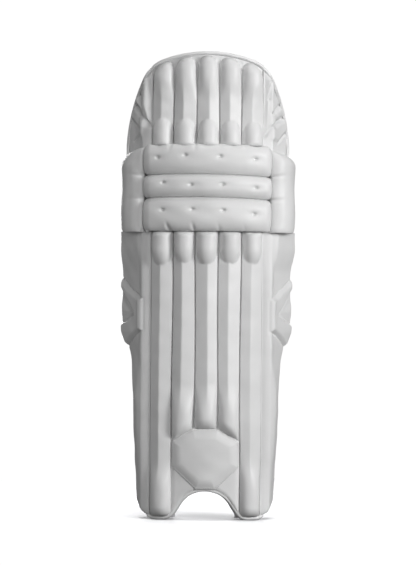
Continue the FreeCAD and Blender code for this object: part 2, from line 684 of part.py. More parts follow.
def bend_links():
    calf = wing_section(CALF_TURN, CALF_TAIL, WING_PROUD, -WING_BACK, CALF_LOW_Z)
    lower_wing = Part.Face(calf).extrude(UP * (LOWER_SEAM_Z + SEAM_GAP - CALF_LOW_Z))
    parts["lower_bend_link"] = bend_link(SHIN_TOP_Z + LAYER_GAP, KNEE_LOW_Z - LAYER_GAP,
                                         lower_bend_space(), lower_wing)
    thigh = wing_section(THIGH_TURN, THIGH_TAIL, WING_PROUD, -WING_BACK, KNEE_TOP_Z)
    upper_wing = Part.Face(thigh).extrude(UP * (PAD_HEIGHT - KNEE_TOP_Z))
    parts["upper_bend_link"] = bend_link(KNEE_TOP_Z + LAYER_GAP, THIGH_LOW_Z - LAYER_GAP,
                                         upper_bend_space(), upper_wing.common(crown_prism()))


# Straps


def wing_free_edge(name):
    """The leg side of the right wing's free edge at a strap, and the angle of the wing's tail there."""
    if name == "ankle":
        return tail_point(-WING_BACK, ANKLE_TURN, ANKLE_TAIL, 0), ANKLE_TURN
    if name == "calf":
        return tail_point(-WING_BACK, CALF_TURN, CALF_TAIL, 0), CALF_TURN
    turn = SIDE_BOLSTER_TURN
    return knee_wing_bend(-WING_BACK, turn) + along(turn) * SIDE_BOLSTER_TAIL, turn


def strap_hinge(name):
    """Where the webbing leaves the right wing's free edge."""
    edge, turn = wing_free_edge(name)
    return edge + along(turn) * STRAP_OVERHANG - outward(turn) * (LAYER_GAP + WEBBING_THICKNESS / 2)


def strap_circle(name):
    """Centre and radius of the webbing's loop, which passes through both hinges and behind the leg."""
    hinge = strap_hinge(name)
    sag = FACE_Y + STRAP_LOOP_DEPTH[name] - WEBBING_THICKNESS / 2 - hinge.y
    radius = (hinge.x ** 2 + sag ** 2) / (2 * sag)
    return Vector(0, hinge.y + sag - radius, 0), radius


def strap_span(name):
    """Lowest and highest point of a strap."""
    half = STRAP_WIDTH[name] / 2
    return STRAP_Z[name] - half, STRAP_Z[name] + half


def band(centre, inner, outer, first, last, low, high):
    """Curved band behind the leg. Angles run from straight back towards +X."""
    def ring(radius):
        return [centre + Vector(math.sin(math.radians(a)), math.cos(math.radians(a)), 0) * radius
                for a in (first, (first + last) / 2, last)]

    far, near = ring(outer), ring(inner)
    edges = [arc(*far), Part.makeLine(far[2], near[2]),
             arc(*reversed(near)), Part.makeLine(near[0], far[0])]
    shape = prism(edges, UP * (high - low))
    shape.translate(UP * low)
    return shape


def wing_side_prism(name, first, last, near, far, low, high):
    """Block beside the right wing's free edge.

    first and last run along the wing from that edge, near and far stand off from its leg side.
    """
    edge, turn = wing_free_edge(name)
    corners = [(first, near), (last, near), (last, far), (first, far)]
    wire = polygon([edge + along(turn) * run - outward(turn) * off for run, off in corners])
    shape = Part.Face(wire).extrude(UP * (high - low))
    shape.translate(UP * low)
    return shape


def stitched_end(name, last):
    """End of the webbing that is sewn to the leg side of the right wing, up to a place along it."""
    low, high = strap_span(name)
    return wing_side_prism(name, STRAP_OVERHANG - ANCHOR_LENGTH, last, LAYER_GAP,
                           LAYER_GAP + WEBBING_THICKNESS, low, high)


def closing_tab(name, centre, inner, outer, hinge_angle):
    """Tab on the right wing that the strap closes on, with its stitched end."""
    low, high = strap_span(name)
    root_angle = hinge_angle + math.degrees(TAB_ROOT_LENGTH / inner)
    tab = band(centre, inner, outer, TAB_REACH, root_angle, low, high)
    wing_side = wing_side_prism(name, -ANCHOR_LENGTH, ANCHOR_LENGTH, LAYER_GAP, -ANCHOR_LENGTH, low, high)
    return tab.cut(wing_side).fuse(stitched_end(name, STRAP_OVERHANG / 2)).removeSplitter()


def strap_end_angle(name):
    """Angle of the right wing's hinge round the webbing's circle, from straight back."""
    centre, _radius = strap_circle(name)
    hinge = strap_hinge(name)
    return math.degrees(math.atan2(hinge.x, hinge.y - centre.y))


def strap(name):
    """Strap and its hook tape, which move, and the pieces sewn to the wings, which are returned."""
    low, high = strap_span(name)
    centre, radius = strap_circle(name)
    hinge_angle = strap_end_angle(name)
    inner = radius - WEBBING_THICKNESS / 2
    hook = inner - LAYER_GAP
    loop = hook - TAPE_THICKNESS - LAYER_GAP
    tab = loop - TAPE_THICKNESS - LAYER_GAP
    tape_low, tape_high = low + TAPE_EDGE_MARGIN, high - TAPE_EDGE_MARGIN
    tape_margin = math.degrees(TAPE_EDGE_MARGIN / radius)
    parts[name + "_strap"] = band(centre, inner, inner + WEBBING_THICKNESS, -hinge_angle,
                                  STRAP_REACH, low, high)
    parts[name + "_hook_tape"] = band(centre, hook - TAPE_THICKNESS, hook, TAB_REACH + tape_margin,
                                      STRAP_REACH - tape_margin, tape_low, tape_high)
    sewn_end = STRAP_OVERHANG - WEBBING_THICKNESS / 2 - STRAP_HINGE_GAP
    return {
        "tab": closing_tab(name, centre, tab - WEBBING_THICKNESS, tab, hinge_angle),
        "loop_tape": band(centre, loop - TAPE_THICKNESS, loop, TAB_REACH + tape_margin,
                          STRAP_REACH + tape_margin, tape_low, tape_high),
        "anchor": mirrored(stitched_end(name, sewn_end)),
    }


def strap_pad(name):
    """Padding between a strap and the leg."""
    low, high = strap_span(name)
    centre, radius = strap_circle(name)
    outer = radius - WEBBING_THICKNESS / 2 - LAYER_GAP
    start = math.degrees(STRAP_PAD_START / radius) - strap_end_angle(name)
    end = start + math.degrees(STRAP_PAD_LENGTH / radius)
    return band(centre, outer - STRAP_PAD_THICKNESS, outer, start, end,
                low + STRAP_PAD_MARGIN, high - STRAP_PAD_MARGIN)


def straps():
    on_shin = [strap("calf"), strap("ankle")]
    for piece in ("tab", "loop_tape", "anchor"):
        parts["shin_strap_" + piece + "s"] = Part.makeCompound([made[piece] for made in on_shin])
    for piece, shape in strap("knee").items():
        parts["knee_strap_" + piece] = shape
    for name in ("knee", "calf"):
        parts[name + "_strap_pad"] = strap_pad(name)


def export_parts():
    os.makedirs("parts", exist_ok=True)
    for name, shape in parts.items():
        if not shape.isValid() or shape.Volume <= 0:
            raise ValueError(f"{name} did not build")
        shape.exportStep(f"parts/{name}.step")


shin_section()
instep()
shin_leg_side()
knee_section()
thigh_section()
bend_links()
straps()
export_parts()
print("hinge at y", round(HINGE_Y, 3), "z", LOWER_SEAM_Z, UPPER_SEAM_Z)
for strap_name in STRAP_Z:
    print(strap_name, "strap turns about", mirrored(Part.Vertex(strap_hinge(strap_name))).Point)
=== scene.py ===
import json
import math

import bmesh
import bpy
import numpy as np
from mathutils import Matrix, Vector


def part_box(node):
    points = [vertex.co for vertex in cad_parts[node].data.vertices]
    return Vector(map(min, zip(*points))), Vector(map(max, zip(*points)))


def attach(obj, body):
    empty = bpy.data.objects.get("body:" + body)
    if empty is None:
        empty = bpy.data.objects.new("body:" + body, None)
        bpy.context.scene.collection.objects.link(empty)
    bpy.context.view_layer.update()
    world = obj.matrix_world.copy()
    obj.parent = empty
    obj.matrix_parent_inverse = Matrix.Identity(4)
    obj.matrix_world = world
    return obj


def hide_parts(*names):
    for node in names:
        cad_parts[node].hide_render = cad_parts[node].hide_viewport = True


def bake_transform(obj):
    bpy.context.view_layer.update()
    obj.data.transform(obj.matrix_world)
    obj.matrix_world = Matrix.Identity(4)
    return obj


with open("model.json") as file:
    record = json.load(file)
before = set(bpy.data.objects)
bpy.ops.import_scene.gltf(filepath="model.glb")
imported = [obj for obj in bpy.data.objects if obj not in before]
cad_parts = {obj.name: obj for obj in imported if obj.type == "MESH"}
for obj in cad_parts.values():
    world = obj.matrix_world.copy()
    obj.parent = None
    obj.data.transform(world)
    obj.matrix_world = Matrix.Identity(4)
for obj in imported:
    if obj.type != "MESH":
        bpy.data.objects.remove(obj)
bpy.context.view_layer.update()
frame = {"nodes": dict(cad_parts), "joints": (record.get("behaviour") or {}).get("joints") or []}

# Lengths are millimetres until a mesh is made. s runs along the pad's surface from its middle, h stands
# out of that surface and z is up. On a wing, q is the distance from the edge of the face.
MM = 0.001


def cad(node):
    """Lowest and highest corner of a CAD node, in millimetres."""
    low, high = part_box(node)
    return np.array(low) / MM, np.array(high) / MM


SEAM_GAP = 3.0
FACE_RADIUS = 190.0
FACE_HALF = 87.0
ROLL_PITCH = 2 * FACE_HALF / 5
BEND_RADIUS = 20.0
SLAB = 13.3
LINING_HALF = 86.6
FACE_Y = cad("shin_facing")[0][1]
WRAP_Y = FACE_Y + FACE_RADIUS
LOWER_SEAM = cad("knee_core")[0][2] - SEAM_GAP / 2
UPPER_SEAM = cad("knee_core")[1][2] + SEAM_GAP / 2
TOP = cad("thigh_facing")[1][2]
JOIN = 0.2
SIDES = ((-1, "left"), (1, "right"))
SECTION_ROWS = ("lower", "middle", "upper")


# ---------------------------------------------------------------- shape helpers


def smooth(low, high, x):
    t = np.clip((x - low) / (high - low), 0, 1)
    return t * t * (3 - 2 * t)


def soft_min(a, b, k):
    t = np.clip(0.5 + 0.5 * (b - a) / k, 0, 1)
    return b * (1 - t) + a * t - k * t * (1 - t)


def soft_max(a, b, k):
    return -soft_min(-a, -b, k)


def dome(d, radius):
    """Quarter round: 0 at an edge, 1 at a distance of radius or more from it."""
    t = 1 - np.clip(d / radius, 0, 1)
    return np.sqrt(np.clip(1 - t * t, 0, 1))


def lumps(a, b, seed, size=30.0):
    """Gentle unevenness of stuffed leather, about -1 to 1."""
    rng = np.random.default_rng(seed)
    total = np.zeros(np.broadcast(a, b).shape)
    for _ in range(7):
        angle = rng.uniform(0, math.pi)
        wave = size * rng.uniform(0.6, 1.8)
        along = a * math.cos(angle) + b * math.sin(angle)
        total += np.sin(2 * math.pi * along / wave + rng.uniform(0, 6.3))
    return total / 3.5


def to_segment(px, pz, a, b):
    """Distance from points to a segment."""
    ax, az = a
    dx, dz = b[0] - ax, b[1] - az
    t = np.clip(((px - ax) * dx + (pz - az) * dz) / (dx * dx + dz * dz), 0, 1)
    return np.hypot(px - ax - t * dx, pz - az - t * dz)


def to_line(px, pz, points):
    return np.min([to_segment(px, pz, a, b) for a, b in zip(points, points[1:])], axis=0)


def inside(px, pz, points):
    """True inside a closed outline."""
    found = np.zeros(px.shape, bool)
    for (ax, az), (bx, bz) in zip(points, points[1:] + points[:1]):
        crosses = (az > pz) != (bz > pz)
        edge = ax + (pz - az) * (bx - ax) / ((bz - az) if bz != az else 1e-9)
        found ^= crosses & (px < edge)
    return found


def from_outline(px, pz, points):
    """Distance to a closed outline, positive inside it."""
    d = to_line(px, pz, points + points[:1])
    return np.where(inside(px, pz, points), d, -d)


# ---------------------------------------------------------------- outlines seen from the front


CROWN_SPREAD = 1.015
CROWN_END = 122.2 * CROWN_SPREAD


def crown_z(x):
    """Height of the thigh flap's edge: three tangent arcs."""
    x = np.abs(x) / CROWN_SPREAD
    first, second, third = 200.0, 50.0, 270.0
    a, b = math.radians(19.6), math.radians(64.0)
    x1, z1 = first * math.sin(a), TOP - first * (1 - math.cos(a))
    cx2, cz2 = x1 - second * math.sin(a), z1 - second * math.cos(a)
    x2, z2 = cx2 + second * math.sin(b), cz2 + second * math.cos(b)
    cx3, cz3 = x2 - third * math.sin(b), z2 - third * math.cos(b)
    outer = cz3 + np.sqrt(np.clip(third ** 2 - (x - cx3) ** 2, 0, None))
    middle = cz2 + np.sqrt(np.clip(second ** 2 - (x - cx2) ** 2, 0, None))
    inner = TOP - first + np.sqrt(np.clip(first ** 2 - x ** 2, 0, None))
    return np.where(x < x1, inner, np.where(x < x2, middle, outer))


ARCH_TOP, ARCH_RADIUS, ARCH_SLOPE = 43.5, 46.0, math.radians(56.0)
REST_START, REST_END = 64.4, 75.9
INNER_ROUND, OUTER_ROUND = 20.0, 30.0


def foot_z(x):
    """Height of the foot's edge: the arch, a straight, the inner round, the rest and the outer round."""
    x = np.abs(x)
    arch_end = ARCH_RADIUS * math.sin(ARCH_SLOPE)
    round_start = REST_START - INNER_ROUND * math.sin(ARCH_SLOPE)
    arch = ARCH_TOP - ARCH_RADIUS + np.sqrt(np.clip(ARCH_RADIUS ** 2 - x ** 2, 0, None))
    low = INNER_ROUND * (1 - math.cos(ARCH_SLOPE))
    straight = low + (round_start - x) * math.tan(ARCH_SLOPE)
    inner = INNER_ROUND - np.sqrt(np.clip(INNER_ROUND ** 2 - (REST_START - x) ** 2, 0, None))
    beyond = np.clip(x - REST_END, 0, OUTER_ROUND * 0.985)
    outer = OUTER_ROUND - np.sqrt(OUTER_ROUND ** 2 - beyond ** 2)
    result = np.where(x < arch_end, arch, np.where(x < round_start, straight, inner))
    return np.where(x > REST_START, outer, result)


# ---------------------------------------------------------------- surfaces


def across_face(s):
    """x of a place on the round face."""
    return FACE_RADIUS * np.sin(s / FACE_RADIUS)


def constant(value):
    return lambda place: np.zeros(np.shape(place)) + value


class Wrap:
    """The pad's curved surface: a round face, a bend and a straight wing that may change with height."""

    def __init__(self, turn, tail, half=FACE_HALF):
        self.turn, self.tail, self.half = turn, tail, half
        self.root = half / FACE_RADIUS
        self.cx = (FACE_RADIUS - BEND_RADIUS) * math.sin(self.root)
        self.cy = WRAP_Y - (FACE_RADIUS - BEND_RADIUS) * math.cos(self.root)

    def bend_length(self, z):
        return BEND_RADIUS * (self.turn(z) - self.root)

    def width(self, z):
        return self.bend_length(z) + self.tail(z)

    def point(self, s, h, z):
        s, h, z = np.broadcast_arrays(s, h, z)
        a = np.abs(s)
        on_face = a <= self.half
        beyond = np.maximum(a - self.half, 0)
        bend = np.minimum(beyond, self.bend_length(z))
        run = beyond - bend
        angle = np.minimum(a, self.half) / FACE_RADIUS + bend / BEND_RADIUS
        sin, cos = np.sin(angle), np.cos(angle)
        x = np.where(on_face, (FACE_RADIUS + h) * sin, self.cx + (BEND_RADIUS + h) * sin + run * cos)
        y = np.where(on_face, WRAP_Y - (FACE_RADIUS + h) * cos,
                     self.cy - (BEND_RADIUS + h) * cos + run * sin)
        return np.stack([np.where(s < 0, -x, x), y, z], -1)

    def normal(self, s, h, z):
        n = self.point(s, np.asarray(h) + 1.0, z) - self.point(s, h, z)
        return n / np.linalg.norm(n, axis=-1, keepdims=True)


ANKLE_TURN, CALF_TURN = math.radians(78.0), math.radians(62.0)
ANKLE_TAIL, CALF_TAIL, THIGH_TAIL = 26.0, 70.0, 53.0


def calf_share(z):
    """0 at the ankle, 1 at the calf."""
    return np.interp(z, [190, 212, 240, 262, 284, 300], [0, 0.17, 0.43, 0.68, 0.94, 1])


SHIN = Wrap(lambda z: ANKLE_TURN + (CALF_TURN - ANKLE_TURN) * calf_share(z),
            lambda z: ANKLE_TAIL + (CALF_TAIL - ANKLE_TAIL) * calf_share(z))
THIGH = Wrap(constant(CALF_TURN), constant(THIGH_TAIL))
KNEE = Wrap(constant(math.radians(70.0)), constant(44.0), half=99.5)


# ---------------------------------------------------------------- mesh helpers

SHARP_ANGLE = 50.0
WELD = 0.00002


def mesh_piece(name, points, faces, material):
    """Smooth-shaded object from points in millimetres, with coincident points joined."""
    mesh = bpy.data.meshes.new(name)
    mesh.from_pydata((np.asarray(points, float) * MM).tolist(), [], faces)
    piece = bpy.data.objects.new(name, mesh)
    bpy.context.scene.collection.objects.link(piece)
    weld(mesh)
    mesh.shade_smooth()
    mesh.set_sharp_from_angle(angle=math.radians(SHARP_ANGLE))
    mesh.materials.append(material)
    return piece


def weld(mesh):
    bm = bmesh.new()
    bm.from_mesh(mesh)
    bmesh.ops.remove_doubles(bm, verts=bm.verts, dist=WELD)
    bmesh.ops.dissolve_degenerate(bm, edges=bm.edges, dist=WELD / 4)
    loose = [v for v in bm.verts if not v.link_faces]
    bmesh.ops.delete(bm, geom=loose, context="VERTS")
    bmesh.ops.recalc_face_normals(bm, faces=bm.faces)
    bm.to_mesh(mesh)
    bm.free()


def grid_faces(rows, columns, first=0, flip=False):
    faces = []
    for i in range(rows - 1):
        for j in range(columns - 1):
            a = first + i * columns + j
            quad = (a, a + 1, a + columns + 1, a + columns)
            faces.append(quad[::-1] if flip else quad)
    return faces


def tube_faces(rings, sides, first=0):
    """Faces round a tube of closed rings, with a face over each end."""
    faces = []
    for i in range(rings - 1):
        for j in range(sides):
            a, b = first + i * sides + j, first + i * sides + (j + 1) % sides
            faces.append((a, b, b + sides, a + sides))
    last = first + (rings - 1) * sides
    return faces + [tuple(range(first, first + sides)), tuple(range(last, last + sides))]


def closed_panel(name, wrap, s, z, front, back, material):
    """Closed solid between two heights over a grid. Rows of the grid run up, columns run along s."""
    s, z, front, back = np.broadcast_arrays(s, z, front, back)
    rows, columns = s.shape
    points = np.concatenate([wrap.point(s, front, z).reshape(-1, 3), wrap.point(s, back, z).reshape(-1, 3)])
    count = rows * columns
    faces = grid_faces(rows, columns) + grid_faces(rows, columns, count, flip=True)
    rim = ([j for j in range(columns)] + [i * columns + columns - 1 for i in range(1, rows)]
           + [(rows - 1) * columns + j for j in range(columns - 2, -1, -1)]
           + [i * columns for i in range(rows - 2, 0, -1)])
    for a, b in zip(rim, rim[1:] + rim[:1]):
        faces.append((b, a, a + count, b + count))
    return mesh_piece(name, points, faces, material)


def sweep(name, centres, sides, normals, section):
    """Binding of a closed section of (along side, along normal) pairs: one for all places or one each."""
    section = np.asarray(section, float)
    if section.ndim == 2:
        section = np.repeat(section[None], len(centres), 0)
    rings = [c + sec[:, :1] * a + sec[:, 1:] * b for c, a, b, sec in zip(centres, sides, normals, section)]
    faces = tube_faces(*section.shape[:2])
    return mesh_piece(name, np.concatenate(rings), faces, PIPING)


def unit(v):
    return v / np.maximum(np.linalg.norm(v, axis=-1, keepdims=True), 1e-9)


def path_frame(wrap, s, h, z, outward_sign=1.0):
    """Points on a surface path with its surface normals and the in-surface direction across the path."""
    centres = wrap.point(s, h, z)
    normals = wrap.normal(s, h, z)
    tangents = unit(np.gradient(centres, axis=0))
    sides = unit(np.cross(tangents, normals)) * outward_sign
    return centres, sides, normals


def cosine_spread(low, high, n):
    """Values from low to high that crowd at both ends."""
    return low + (high - low) * (1 - np.cos(np.linspace(0, math.pi, n))) / 2


STITCH_PITCH, STITCH_LENGTH, STITCH_RADIUS, STITCH_LIFT = 3.4, 2.3, 0.42, 0.1
STITCH_SIDES = 6
# Place along a stitch, share of its full thickness and drop, for each ring of one stitch.
STITCH_RINGS = ((0, 0.35, -0.35), (0.18, 1, 0), (0.82, 1, 0), (1, 0.35, -0.35))


def stitches(name, centres, normals):
    """A row of separate thread stitches along a path."""
    steps = np.linalg.norm(np.diff(centres, axis=0), axis=1)
    run = np.concatenate([[0], np.cumsum(steps)])
    turns = np.linspace(0, 2 * math.pi, STITCH_SIDES, endpoint=False)
    ring = [(math.cos(a), math.sin(a)) for a in turns]
    points, faces = [], []

    def at(distance, values):
        return np.array([np.interp(distance, run, values[:, k]) for k in range(3)])

    for start in np.arange(STITCH_PITCH / 2, run[-1] - STITCH_LENGTH, STITCH_PITCH):
        up = unit(at(start, normals))
        a, b = at(start, centres), at(start + STITCH_LENGTH, centres)
        along = unit(b - a)
        across = unit(np.cross(along, up))
        faces += tube_faces(len(STITCH_RINGS), STITCH_SIDES, len(points))
        for share, size, rise in STITCH_RINGS:
            middle = a + (b - a) * share + up * (STITCH_LIFT + rise * STITCH_RADIUS)
            points += [middle + (across * c + up * d * 0.7) * STITCH_RADIUS * size for c, d in ring]
    return mesh_piece(name, points, faces, THREAD)


# ---------------------------------------------------------------- materials


def new_material(name, color, roughness):
    material = bpy.data.materials.new(name)
    material.use_nodes = True
    shader = material.node_tree.nodes["Principled BSDF"]
    shader.inputs["Base Color"].default_value = (*color, 1)
    shader.inputs["Roughness"].default_value = roughness
    return material, material.node_tree, shader


def node(tree, kind, links=(), **values):
    """New node. values set its inputs by name, and links is (input, socket) pairs."""
    made = tree.nodes.new(kind)
    for key, value in values.items():
        made.inputs[key].default_value = value
    for key, socket in links:
        tree.links.new(socket, made.inputs[key])
    return made


def object_space(tree):
    return tree.nodes.new("ShaderNodeTexCoord").outputs["Object"]


def noise(tree, place, scale, detail, **more):
    """Factor of a noise texture."""
    made = node(tree, "ShaderNodeTexNoise", [("Vector", place)], Scale=scale, Detail=detail, **more)
    return made.outputs["Fac"]


def bump(tree, shader, height, strength, distance, below=None):
    made = node(tree, "ShaderNodeBump", [("Height", height)], Strength=strength, Distance=distance)
    if below is not None:
        tree.links.new(below.outputs["Normal"], made.inputs["Normal"])
    tree.links.new(made.outputs["Normal"], shader.inputs["Normal"])
    return made


def color_by(tree, shader, socket, low, low_color, high, high_color):
    """The shader's colour runs from one colour to the other as the socket goes from low to high."""
    made = tree.nodes.new("ShaderNodeValToRGB")
    tree.links.new(socket, made.inputs["Fac"])
    for element, place, color in zip(made.color_ramp.elements, (low, high), (low_color, high_color)):
        element.position, element.color = place, (*color, 1)
    tree.links.new(made.outputs["Color"], shader.inputs["Base Color"])


def leather(name, color, roughness=0.42, grain=0.5):
    """Synthetic leather: fine pebbled grain, faint wrinkles, slightly uneven colour and gloss."""
    material, tree, shader = new_material(name, color, roughness)
    shader.inputs["Specular IOR Level"].default_value = 0.42
    shader.inputs["Sheen Weight"].default_value = 0.05
    place = object_space(tree)
    cells = node(tree, "ShaderNodeTexVoronoi", [("Vector", place)], Scale=850.0)
    cells.feature = "SMOOTH_F1"
    creases = noise(tree, place, 260.0, 5.0)
    folds = noise(tree, place, 38.0, 3.0)
    low = bump(tree, shader, folds, 0.22, 0.0012)
    mid = bump(tree, shader, creases, 0.16 * grain, 0.0006, low)
    bump(tree, shader, cells.outputs["Distance"], 0.30 * grain, 0.0005, mid)
    patches = noise(tree, place, 14.0, 4.0)
    darker = tuple(c * 0.93 for c in color)
    color_by(tree, shader, patches, 0.35, darker, 0.62, color)
    gloss = node(tree, "ShaderNodeMapRange", [("Value", creases)])
    gloss.inputs["To Min"].default_value = roughness - 0.06
    gloss.inputs["To Max"].default_value = roughness + 0.08
    tree.links.new(gloss.outputs["Result"], shader.inputs["Roughness"])
    return material


def woven(name, color, pitch, roughness=0.8, depth=0.0004, contrast=0.82):
    """Cloth: two crossed sets of yarns, pitch apart in millimetres."""
    material, tree, shader = new_material(name, color, roughness)
    shader.inputs["Sheen Weight"].default_value = 0.25
    place = object_space(tree)
    yarns = []
    for axis in ("X", "Z"):
        wave = node(tree, "ShaderNodeTexWave", [("Vector", place)], Scale=1000 / pitch / 6.28, Distortion=0.4,
                    Detail=1.0)
        wave.bands_direction = axis
        yarns.append(wave.outputs["Fac"])
    both = node(tree, "ShaderNodeMath", [(0, yarns[0]), (1, yarns[1])])
    both.operation = "MULTIPLY"
    fuzz = noise(tree, place, 900.0, 2.0)
    low = bump(tree, shader, fuzz, 0.2, 0.0005)
    bump(tree, shader, both.outputs["Value"], 0.6, depth, low)
    darker = tuple(c * contrast for c in color)
    color_by(tree, shader, both.outputs["Value"], 0.0, darker, 0.5, color)
    return material


def brushed(name, color):
    """Short fleece of a loop tape or a brushed lining."""
    material, tree, shader = new_material(name, color, 0.9)
    shader.inputs["Sheen Weight"].default_value = 0.5
    place = object_space(tree)
    fibres = noise(tree, place, 1400.0, 4.0)
    tufts = noise(tree, place, 160.0, 3.0)
    low = bump(tree, shader, tufts, 0.4, 0.0008)
    bump(tree, shader, fibres, 0.7, 0.0006, low)
    darker = tuple(c * 0.85 for c in color)
    color_by(tree, shader, tufts, 0.3, darker, 0.65, color)
    return material


def hooks(name, color):
    material, tree, shader = new_material(name, color, 0.45)
    place = object_space(tree)
    dots = node(tree, "ShaderNodeTexVoronoi", [("Vector", place)], Scale=700.0, Randomness=0.3)
    bump(tree, shader, dots.outputs["Distance"], 1.0, 0.0012)
    darker = tuple(c * 0.7 for c in color)
    color_by(tree, shader, dots.outputs["Distance"], 0.1, color, 0.6, darker)
    return material


def bamboo(name):
    material, tree, shader = new_material(name, (0.62, 0.45, 0.22), 0.5)
    place = object_space(tree)
    grain = noise(tree, place, 120.0, 5.0, Distortion=0.6)
    color_by(tree, shader, grain, 0.3, (0.45, 0.30, 0.13), 0.7, (0.72, 0.56, 0.32))
    bump(tree, shader, grain, 0.3, 0.0006)
    return material


def foam(name):
    material, tree, shader = new_material(name, (0.80, 0.77, 0.68), 0.9)
    place = object_space(tree)
    cells = node(tree, "ShaderNodeTexVoronoi", [("Vector", place)], Scale=600.0)
    bump(tree, shader, cells.outputs["Distance"], 0.6, 0.0006)
    color_by(tree, shader, cells.outputs["Distance"], 0.0, (0.68, 0.68, 0.67), 0.6, (0.80, 0.80, 0.79))
    return material


COVER = leather("cover_leather", (0.765, 0.765, 0.765))
PIPING = leather("piping_leather", (0.84, 0.84, 0.84), roughness=0.36, grain=0.3)
LINING = woven("lining_twill", (0.70, 0.71, 0.73), pitch=1.3)
INNER = brushed("inner_brushed", (0.74, 0.74, 0.76))
WEBBING = woven("strap_webbing", (0.80, 0.80, 0.81), pitch=2.0, roughness=0.6, depth=0.0007)
LOOP = brushed("loop_tape", (0.78, 0.78, 0.78))
HOOK = hooks("hook_tape", (0.76, 0.76, 0.75))
THREAD = woven("sewing_thread", (0.82, 0.82, 0.82), pitch=0.6, roughness=0.6)
FOAM = foam("foam")
CANE = bamboo("cane")


def fit(piece, body, slot, *nodes, fill=None):
    """The piece rides on a body and stands for CAD nodes. fill is given for a stuffed piece but is not used.
    """
    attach(piece, body)
    if nodes:
        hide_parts(*nodes)


def join_thigh(piece):
    """Bakes the piece's placement into its mesh, for a piece that reaches from the thigh flap down towards
    the knee roll.
    """
    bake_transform(piece)


# ---------------------------------------------------------------- upright rolls

ROLLS = 5
BASE = -0.2

ROOF, SHOULDER, ROLL_WALL = 11.2, 5.8, 17.0
ROUND = 18.5
CRESTS = (-0.05, -0.12, 0.10, -0.14, -0.17)
ROLL_FIELD = 85.2
ROLL_GROOVE = 0.8
HEAD_END = 30.0
TIP_LENGTH = 19.0


def roll_seam(index, z):
    """Place of a seam beside the rolls, which wanders a little between the two outer seams."""
    wander = 0.0 if index in (0, 5) else 0.8
    return (index - 2.5) * 2 * ROLL_FIELD / 5 + wander * np.sin(z / 58.0 + 1.7 * index)


def roof(t, crest):
    """Two flat facets that meet in a crease, between steep sides."""
    reach = 0.93
    left = SHOULDER + (ROOF - SHOULDER) * (t + reach) / (crest + reach)
    right = SHOULDER + (ROOF - SHOULDER) * (reach - t) / (reach - crest)
    wall = ROLL_WALL * np.sqrt(np.clip(1 - np.abs(t) ** 10, 0, 1))
    return soft_min(soft_min(left, right, 0.5), wall, 1.6)


def round_roll(t, end=0.0, height=ROUND):
    """Half-round section; end is how far into its domed end a place is, in dome lengths."""
    return height * np.sqrt(np.clip(1 - np.abs(t) ** 2.2 - end ** 2, 0, 1))


def roll_grid(index, low, high, rows, wrap):
    """t across the roll, and s and z over it. low(x) and high(x) are the heights of its ends."""
    t = -np.cos(np.linspace(0, math.pi, 45))
    x = FACE_RADIUS * np.sin(((index - 2) + t / 2) * 2 * ROLL_FIELD / 5 / FACE_RADIUS)
    v = cosine_spread(0, 1, rows)[:, None] * 0.35 + np.linspace(0, 1, rows)[:, None] * 0.65
    z = low(x) + v * (high(x) - low(x))
    first, last = roll_seam(index, z), roll_seam(index + 1, z)
    return np.broadcast_to(t, z.shape), (first + last) / 2 + t * ((last - first) / 2 - ROLL_GROOVE), z


def finish_roll(section, body, wrap, index, s, z, h):
    """Makes a roll; the middle one also stands for the filling of all five."""
    piece = closed_panel(f"{section}_roll_{index + 1}_leather", wrap, s, z, np.maximum(h, 0.3), BASE, COVER)
    nodes = [f"{section}_roll_{index + 1}"] + ([section + "_roll_filling"] if index == 2 else [])
    fit(piece, body, "cover", *nodes, fill=0.9)


# The patch is an octagon, level at its top and bottom and upright at its sides.
PATCH_BOTTOM, PATCH_LOW, PATCH_HIGH, PATCH_TOP = 45.5, 80.0, 120.0, 139.5
PATCH_FOOT_HALF, PATCH_CROWN_HALF, PATCH_HALF = 15.0, 19.0, 51.0
PATCH = [(PATCH_FOOT_HALF, PATCH_BOTTOM), (PATCH_HALF, PATCH_LOW), (PATCH_HALF, PATCH_HIGH),
         (PATCH_CROWN_HALF, PATCH_TOP), (-PATCH_CROWN_HALF, PATCH_TOP), (-PATCH_HALF, PATCH_HIGH),
         (-PATCH_HALF, PATCH_LOW), (-PATCH_FOOT_HALF, PATCH_BOTTOM)]


def patch_high(x):
    beyond = np.clip(np.abs(x) - PATCH_CROWN_HALF, 0, None)
    return PATCH_TOP - beyond * (PATCH_TOP - PATCH_HIGH) / (PATCH_HALF - PATCH_CROWN_HALF)


def shin_roll(index):
    outer = index in (0, 4)

    def low(x):
        return foot_z(x) + 4.2 if outer else patch_high(x) - 1.5

    high = constant(LOWER_SEAM - JOIN)
    t, s, z = roll_grid(index, low, high, 230, SHIN)
    x = across_face(s)
    head_low = LOWER_SEAM - 23.0 + (-3, 1.0, -1.0, 0.5, 0)[index]
    head = round_roll(t, np.clip(head_low - z, 0, None) / HEAD_END, 19.5)
    swell = smooth(96, 44, z) if outer else smooth(208, 158, z)
    body = roof(t, CRESTS[index]) * (1 - swell) + round_roll(t, height=17.0) * swell
    body = body * dome(z - low(x), 15.0 if outer else 17.0)
    h = soft_max(body, head, 1.4)
    h = h * (0.50 + 0.50 * dome(high(x) - z, 7.0))
    h = h + lumps(s, z, 40 + index, 34) * 0.35 * (1 - t * t)
    finish_roll("shin", "shin_guard", SHIN, index, s, z, h)


